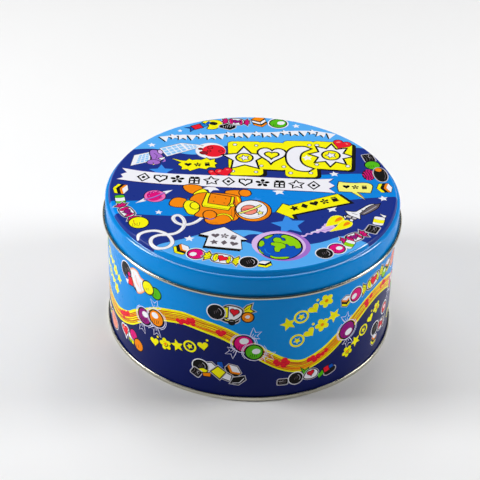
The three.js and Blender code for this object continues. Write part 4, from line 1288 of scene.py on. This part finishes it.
def strip_rings(M, section, angles, lift, mat_of, first=None, last=None, sharp=32.0, close=True, right_side_out=True):
    """Bands of quads between rings of a section. The section runs with its outer side on its left.
    lift(r, column) adds to the radius of a column. first, last: vertex indices of rings that are already there."""
    n = len(angles)
    d = directions(section)
    nrm = np.stack([-d[:, 1], d[:, 0]], 1)
    rings = []
    ca, sa = np.cos(angles), np.sin(angles)
    for k, (r, z) in enumerate(section):
        if k == 0 and first is not None:
            rings.append(first)
            continue
        if k == len(section) - 1 and last is not None:
            rings.append(last)
            continue
        rr = r + lift
        rings.append(M.verts(np.stack([rr * ca, rr * sa, np.full(n, z)], 1)))
    cosmax = math.cos(math.radians(sharp))
    for k in range(len(section) - 1):
        na = nrm[k] + nrm[k - 1] if k > 0 and float(nrm[k] @ nrm[k - 1]) > cosmax else nrm[k]
        nb = nrm[k] + nrm[k + 1] if k + 1 < len(nrm) and float(nrm[k] @ nrm[k + 1]) > cosmax else nrm[k]
        na, nb = na / np.linalg.norm(na), nb / np.linalg.norm(nb)
        mat = mat_of(k)
        R0, R1 = rings[k], rings[k + 1]
        for j in range(n if close else n - 1):
            i = (j + 1) % n
            nj0 = (na[0] * ca[j], na[0] * sa[j], na[1])
            ni0 = (na[0] * ca[i], na[0] * sa[i], na[1])
            nj1 = (nb[0] * ca[j], nb[0] * sa[j], nb[1])
            ni1 = (nb[0] * ca[i], nb[0] * sa[i], nb[1])
            M.face((R0[j], R0[i], R1[i], R1[j])[::-1], mat, (nj1, ni1, ni0, nj0))
    return rings


def disc(M, ring, z, up, mat):
    """Closes a ring with a fan to a point on the axis."""
    c = M.verts([(0, 0, z)])[0]
    n = len(ring)
    for j in range(n):
        i = (j + 1) % n
        tri = (c, ring[j], ring[i]) if up else (c, ring[i], ring[j])
        M.face(tri, mat, [(0, 0, 1 if up else -1)] * 3)


# ------------------------------------------------------------------ the lid


def build_lid():
    outside = bends([(0, LID_TOP_Z), (LID_PANEL_R, LID_TOP_Z, LID_PANEL_BEND), (LID_FOOT_R, LID_FOOT_Z, LID_FOOT_BEND),
                     (LID_SKIRT_R, LID_FOOT_Z - LID_LEDGE_DROP, LID_SHOULDER_BEND), (LID_SKIRT_R, LID_CURL_Z)])
    t = LID_SHEET
    curl = LID_CURL_R - LID_SKIRT_R + t
    roll = arc(LID_CURL_R - curl / 2, LID_CURL_Z, curl / 2 - t / 2, 180, 360 + LID_CURL_END, 40)
    mid = offset(outside, -t / 2)
    mid = np.concatenate([mid[:-1], roll])
    left, right = offset(mid, t / 2), offset(mid, -t / 2)
    # the printed sheet, unrolled, ends a little below the shoulder
    shoulder = max(k for k in range(len(outside) - 1) if outside[k][1] > LID_CURL_Z + 2)
    cut = np.array([LID_SKIRT_R, outside[shoulder][1] - 1.6])
    prof = np.concatenate([outside[:shoulder + 1], [cut]])
    rho = np.concatenate([[0], np.cumsum(np.linalg.norm(np.diff(prof, axis=0), axis=1))])
    d = directions(prof)
    pn = np.stack([-d[:, 1], d[:, 0]], 1)
    vn = np.concatenate([[pn[0]], pn[:-1] + pn[1:], [pn[-1]]])
    vn /= np.linalg.norm(vn, axis=1)[:, None]
    vn[1] = (0, 1)
    foot = next(k for k in range(len(outside)) if outside[k][1] < LID_FOOT_Z + 0.35)
    N = 256
    angles = np.arange(N) * TAU / N
    pts, edges = [], []
    for k in range(1, len(rho)):
        b = len(pts)
        pts += [(rho[k] * math.cos(a), rho[k] * math.sin(a)) for a in angles]
        edges += [(b + j, b + (j + 1) % N) for j in range(N)]
    clip = float(rho[foot])
    b = len(pts)
    pts += [((LID_PANEL_R - 0.7) * math.cos(a), (LID_PANEL_R - 0.7) * math.sin(a)) for a in angles]
    edges += [(b + j, b + (j + 1) % N) for j in range(N)]
    art = lid_art(clip - 0.06)
    sky_end = LID_PANEL_R - 0.7
    sky, plain, side = INK_ORDER.index("sky"), INK_ORDER.index("coat"), len(INK_ORDER) + 3

    def ground(p):
        q = math.hypot(*p)
        if q < sky_end:
            return sky
        return side if float(np.interp(q, rho, vn[:, 0])) > 0.80 else plain

    xy, tris, colour, where = tessellate(art.shapes, pts, edges, ground)
    r = np.linalg.norm(xy, axis=1)
    ang = np.arctan2(xy[:, 1], xy[:, 0])
    R, Z = np.interp(r, rho, prof[:, 0]), np.interp(r, rho, prof[:, 1])
    NR, NZ = np.interp(r, rho, vn[:, 0]), np.interp(r, rho, vn[:, 1])
    M = Mesher()
    base = M.verts(np.stack([R * np.cos(ang), R * np.sin(ang), Z], 1))
    nrm = np.stack([NR * np.cos(ang), NR * np.sin(ang), NZ], 1)
    round_bend = []  # inks that run on over the panel's rounded edge, where the drawn sheet is less glossy
    for f, c in zip(tris, colour):
        c = int(c)
        if c != plain and c < len(INK_ORDER) and np.mean(r[list(f)]) > rho[1]:
            if c not in round_bend:
                round_bend.append(c)
            c = side + 1 + round_bend.index(c)
        M.face(f, c, [tuple(nrm[i]) for i in f])
    last = len(pts) - 2 * N
    ring = np.array([base[where[last + j]] for j in range(N)])
    # down the skirt, round the hollow roll, over the raw edge and back up inside to the axis
    k0 = shoulder + 1
    k_end = len(mid)
    over = np.concatenate([[cut], left[k0:]])
    under = right[::-1]
    section = np.concatenate([over, under[:-1]])
    n_over = len(over)
    ink_mat = side
    m_curl, m_in, m_cut = len(INK_ORDER), len(INK_ORDER) + 1, len(INK_ORDER) + 2
    roll_len = len(roll)

    def mat_of(k):
        if k < n_over - 1:
            return ink_mat
        if k == n_over - 1:
            return m_cut
        return m_curl if k < n_over + roll_len else m_in

    rings = strip_rings(M, section, angles, np.zeros(N), mat_of, first=ring)
    disc(M, rings[-1], float(section[-1][1]), False, m_in)
    print("lid", len(xy), "points", len(tris), "art triangles", len(M.f), "faces")
    return M.build("printed_lid_sheet", [TOP_MATS[k] for k in INK_ORDER] + [METAL, METAL_IN, METAL_CUT, INK_MATS["coat"]] + [INK_MATS[INK_ORDER[c]] for c in round_bend])


# ------------------------------------------------------------------ the body


def build_body():
    t = BODY_SHEET
    hook_r = SEAM_R - END_SHEET - HOOK_GAP - t / 2
    wall_r = BODY_R - t / 2
    turn = (hook_r - wall_r) / 2
    foot_z = BODY_FOOT_Z + t / 2 + turn
    low = arc(wall_r + turn, foot_z, turn, 0, -180, 14)
    high = arc(BODY_R - RIM_ROLL, RIM_TOP_Z - RIM_ROLL, RIM_ROLL - t / 2, 0, RIM_END, 36)
    mid = np.concatenate([[(hook_r, BODY_HOOK_TOP_Z)], low, high])
    left, right = offset(mid, t / 2), offset(mid, -t / 2)   # going up the wall, its right is the printed side
    z0, z1 = 2.0, 95.0
    seam = [303.9, 304.35]
    cols = sorted(set(round(-PRINT_EDGE + 2 * PRINT_EDGE * k / 240, 6) for k in range(241)) | set(seam) | set(-s for s in seam) | {-HALF_WAY, HALF_WAY})
    lap = lambda s: float(np.interp(abs(s), [303.9, 304.35, HALF_WAY], [0, 0.12, 0.12]))
    pts, edges = [], []
    low_id, high_id = [], []
    for s in cols:
        low_id.append(len(pts))
        pts.append((s, z0))
        high_id.append(len(pts))
        pts.append((s, z1))
    for i in range(len(cols)):
        edges.append((low_id[i], high_id[i]))
        if i:
            edges += [(low_id[i - 1], low_id[i]), (high_id[i - 1], high_id[i])]
    k = len(pts)
    pts += [(-HALF_WAY, PRINT_HIGH), (HALF_WAY, PRINT_HIGH)]
    edges += [(k, k + 1)]
    side_l, side_r = k, k + 1
    art = body_art()
    m_metal, m_in, m_cut = len(INK_ORDER), len(INK_ORDER) + 1, len(INK_ORDER) + 2
    plain = INK_ORDER.index("coat")

    def base(p):
        return m_metal if abs(p[0]) > PRINT_EDGE or p[1] > PRINT_HIGH or p[1] < PRINT_LOW else plain

    xy, tris, colour, where = tessellate(art.shapes, pts, edges, base)
    over_print = (np.abs(xy[tris].mean(1)[:, 0]) > PRINT_EDGE) | (xy[tris].mean(1)[:, 1] > PRINT_HIGH)
    colour[over_print] = m_metal
    r = BODY_R + np.array([lap(s) for s in xy[:, 0]])
    ang = xy[:, 0] / BODY_R - math.pi / 2
    M = Mesher()
    base_i = M.verts(np.stack([r * np.cos(ang), r * np.sin(ang), xy[:, 1]], 1))
    nrm = np.stack([np.cos(ang), np.sin(ang), np.zeros(len(ang))], 1)
    # the two ends of the sheet meet at the back: one set of points for both
    same = {}
    for a, b in ((low_id[0], low_id[-1]), (high_id[0], high_id[-1]), (side_l, side_r)):
        same[where[b]] = where[a]
    remap = np.arange(len(xy))
    for b, a in same.items():
        remap[b] = a
    for f, c in zip(tris, colour):
        M.face([base_i[remap[i]] for i in f], int(c), [tuple(nrm[i]) for i in f])
    n = len(cols) - 1
    ring_low = np.array([base_i[where[low_id[i]]] for i in range(n)])
    ring_high = np.array([base_i[where[high_id[i]]] for i in range(n)])
    angles = np.array([s / BODY_R - math.pi / 2 for s in cols[:-1]])
    lift = np.array([lap(s) for s in cols[:-1]])
    n_low = 1 + len(low)
    # over the rim from the print's top edge, down inside, round the foot, and up to the print's lower edge
    up = right[n_low:]
    inside = left[::-1]
    hook = right[:n_low]
    section = np.concatenate([[(BODY_R, z1)], up, inside, hook, [(BODY_R, z0)]])
    n_up = len(up)

    def mat_of(k):
        if k <= n_up - 1:
            return m_metal
        if k == n_up:
            return m_cut
        return m_in if k < n_up + len(inside) else (m_cut if k == n_up + len(inside) else m_metal)

    # the section runs the other way round from the lid's, so that its outer side is on its right
    strip_rings_right(M, section, angles, lift, mat_of, ring_high, ring_low)
    print("body", len(xy), "points", len(tris), "art triangles", len(M.f), "faces")
    return M.build("printed_body_sheet", [INK_MATS[k] for k in INK_ORDER] + [METAL, METAL_IN, METAL_CUT])


def strip_rings_right(M, section, angles, lift, mat_of, first, last, sharp=32.0):
    """As strip_rings, for a section that runs with its outer side on its right."""
    n = len(angles)
    d = directions(section)
    nrm = np.stack([d[:, 1], -d[:, 0]], 1)
    ca, sa = np.cos(angles), np.sin(angles)
    rings = []
    for k, (r, z) in enumerate(section):
        if k == 0:
            rings.append(first)
        elif k == len(section) - 1:
            rings.append(last)
        else:
            rr = r + lift
            rings.append(M.verts(np.stack([rr * ca, rr * sa, np.full(n, z)], 1)))
    cosmax = math.cos(math.radians(sharp))
    for k in range(len(section) - 1):
        na = nrm[k] + nrm[k - 1] if k > 0 and float(nrm[k] @ nrm[k - 1]) > cosmax else nrm[k]
        nb = nrm[k] + nrm[k + 1] if k + 1 < len(nrm) and float(nrm[k] @ nrm[k + 1]) > cosmax else nrm[k]
        na, nb = na / np.linalg.norm(na), nb / np.linalg.norm(nb)
        mat = mat_of(k)
        R0, R1 = rings[k], rings[k + 1]
        for j in range(n):
            i = (j + 1) % n
            M.face((R0[j], R0[i], R1[i], R1[j]), mat, ((na[0] * ca[j], na[0] * sa[j], na[1]), (na[0] * ca[i], na[0] * sa[i], na[1]), (nb[0] * ca[i], nb[0] * sa[i], nb[1]), (nb[0] * ca[j], nb[0] * sa[j], nb[1])))
    return rings


# ------------------------------------------------------------------ the bottom


def build_bottom():
    t = END_SHEET
    chuck_r = BODY_R - BODY_SHEET - HOOK_GAP - t / 2
    outer_r = SEAM_R - t / 2
    cover_r = SEAM_R - t - 2 * HOOK_GAP - BODY_SHEET - t / 2
    turn = (outer_r - cover_r) / 2
    line_ = bends([(0, PANEL_Z + t / 2), (PANEL_STEP_INNER_R, PANEL_Z + t / 2, 0.6), (PANEL_STEP_OUTER_R, CHUCK_WALL_TOP_Z + t / 2, 0.6), (chuck_r, CHUCK_WALL_TOP_Z + t / 2, CHUCK_BEND),
                   (chuck_r, t / 2, SEAM_BEND), (outer_r, t / 2, SEAM_BEND), (outer_r, SEAM_HEIGHT - t / 2 - turn)])
    mid = np.concatenate([line_[:-1], arc(cover_r + turn, SEAM_HEIGHT - t / 2 - turn, turn, 0, 180, 16), [(cover_r, COVER_HOOK_FOOT_Z)]])
    left, right = offset(mid, t / 2), offset(mid, -t / 2)
    N = 256
    angles = np.arange(N) * TAU / N
    M = Mesher()
    # from the axis on the upper face out to the hook, round its raw edge, and back along the lower face
    section = np.concatenate([left[1:], right[::-1][:-1]])
    n_left = len(left) - 1
    rings = strip_rings(M, section, angles, np.zeros(N), lambda k: 1 if k < n_left - 1 else (2 if k == n_left - 1 else 0))
    disc(M, rings[0], float(section[0][1]), True, 1)
    disc(M, rings[-1], float(section[-1][1]), False, 0)
    print("bottom", len(M.f), "faces")
    return M.build("tinplate_bottom_end", [METAL_END, METAL_IN, METAL_CUT])


METAL_END = tinplate("tinplate_bottom", (204, 200, 184), 0.27)


def open_edges(ob):
    me = ob.data
    used = {}
    for p in me.polygons:
        for k in p.edge_keys:
            used[k] = used.get(k, 0) + 1
    bad = [k for k, c in used.items() if c != 2]
    print(ob.name, "edges not shared by two faces:", len(bad), [tuple(round(x * 1000, 2) for x in me.vertices[k[0]].co) for k in bad[:4]])


lid = build_lid()
body = build_body()
bottom = build_bottom()
for ob in (lid, body, bottom):
    open_edges(ob)

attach(lid, "lid")
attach(body, "tin")
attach(bottom, "tin")
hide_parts("lid")
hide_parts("body")
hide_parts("bottom")

# ------------------------------------------------------------------ floor, world and lights

bpy.ops.mesh.primitive_circle_add(vertices=96, radius=1.7, fill_type="NGON", location=(0, 0.1, -0.0002))
floor = bpy.context.object
floor.name = "floor"
fm, fnt, fp = new_material("pale_floor")
fp.inputs["Base Color"].default_value = (0.86, 0.86, 0.86, 1)
fp.inputs["Specular IOR Level"].default_value = 0.25
fpos = fnt.nodes.new("ShaderNodeTexCoord").outputs["Object"]
fnt.links.new(ramp(fnt, noise(fnt, fpos, 30.0, 3.0), 0.3, 0.7, 0.62, 0.74), fp.inputs["Roughness"])
# towards its far edge the floor fades into the pale surroundings, so that no horizon line shows in low views
away = fnt.nodes.new("ShaderNodeVectorMath")
away.operation = "LENGTH"
fnt.links.new(fpos, away.inputs[0])
pale = fnt.nodes.new("ShaderNodeEmission")
pale.inputs["Color"].default_value = (1, 1, 1, 1)
pale.inputs["Strength"].default_value = 0.72
fade = fnt.nodes.new("ShaderNodeMixShader")
out = next(n for n in fnt.nodes if n.type == "OUTPUT_MATERIAL")
fnt.links.new(ramp(fnt, away.outputs["Value"], 0.70, 1.45, 0.0, 1.0), fade.inputs[0])
fnt.links.new(fp.outputs[0], fade.inputs[1])
fnt.links.new(pale.outputs[0], fade.inputs[2])
fnt.links.new(fade.outputs[0], out.inputs["Surface"])
floor.data.materials.append(fm)
floor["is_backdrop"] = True

world = bpy.data.worlds.new("studio")
bpy.context.scene.world = world
world.use_nodes = True
bg = world.node_tree.nodes.get("Background") or world.node_tree.nodes.new("ShaderNodeBackground")
wt = world.node_tree
sky_dir = wt.nodes.new("ShaderNodeTexCoord").outputs["Generated"]
sky_xyz = wt.nodes.new("ShaderNodeSeparateXYZ")
wt.links.new(sky_dir, sky_xyz.inputs[0])
bg.inputs["Color"].default_value = (1, 1, 1, 1)
wt.links.new(ramp(wt, sky_xyz.outputs[2], 0.06, 0.22, 0.72, 0.05), bg.inputs["Strength"])


def softbox(name, loc, target, sx, sy, power):
    d = bpy.data.lights.new(name, "AREA")
    d.shape = "RECTANGLE"
    d.size, d.size_y = sx, sy
    d.energy = power
    d.color = (1, 1, 1)
    o = bpy.data.objects.new(name, d)
    bpy.context.scene.collection.objects.link(o)
    o.location = loc
    v = Vector(target) - Vector(loc)
    o.rotation_mode = "QUATERNION"
    o.rotation_quaternion = v.to_track_quat("-Z", "Y")
    return o


softbox("left", (-1.15, -0.04, 0.62), (0, 0, 0.05), 0.42, 0.75, 13.5)
softbox("right", (1.15, 0.12, 0.66), (0, 0, 0.05), 0.38, 0.72, 9.2)
softbox("top", (0.0, 0.53, 1.33), (0, 0.0, 0.1), 1.3, 0.42, 7.6)
softbox("back_left", (-0.31, 1.01, 1.29), (0, 0, 0.09), 0.30, 0.30, 1.9)
softbox("back_right", (0.31, 1.01, 1.29), (0, 0, 0.09), 0.30, 0.30, 1.9)
bpy.context.scene.view_settings.view_transform = "Standard"
bpy.context.scene.view_settings.look = "None"

lo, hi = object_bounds()
def rows(b):
    return [[round(float(x), 6) for x in p] for p in b]
(json.dumps({"cad_box_m": rows(CAD_BOX), "visual_box_m": rows((lo, hi)), "cad_size_m": [round(float(b - a), 6) for a, b in zip(*rows(CAD_BOX))],
                    "visual_size_m": [round(float(b - a), 6) for a, b in zip(*rows((lo, hi)))]}, indent=1) + "\n")
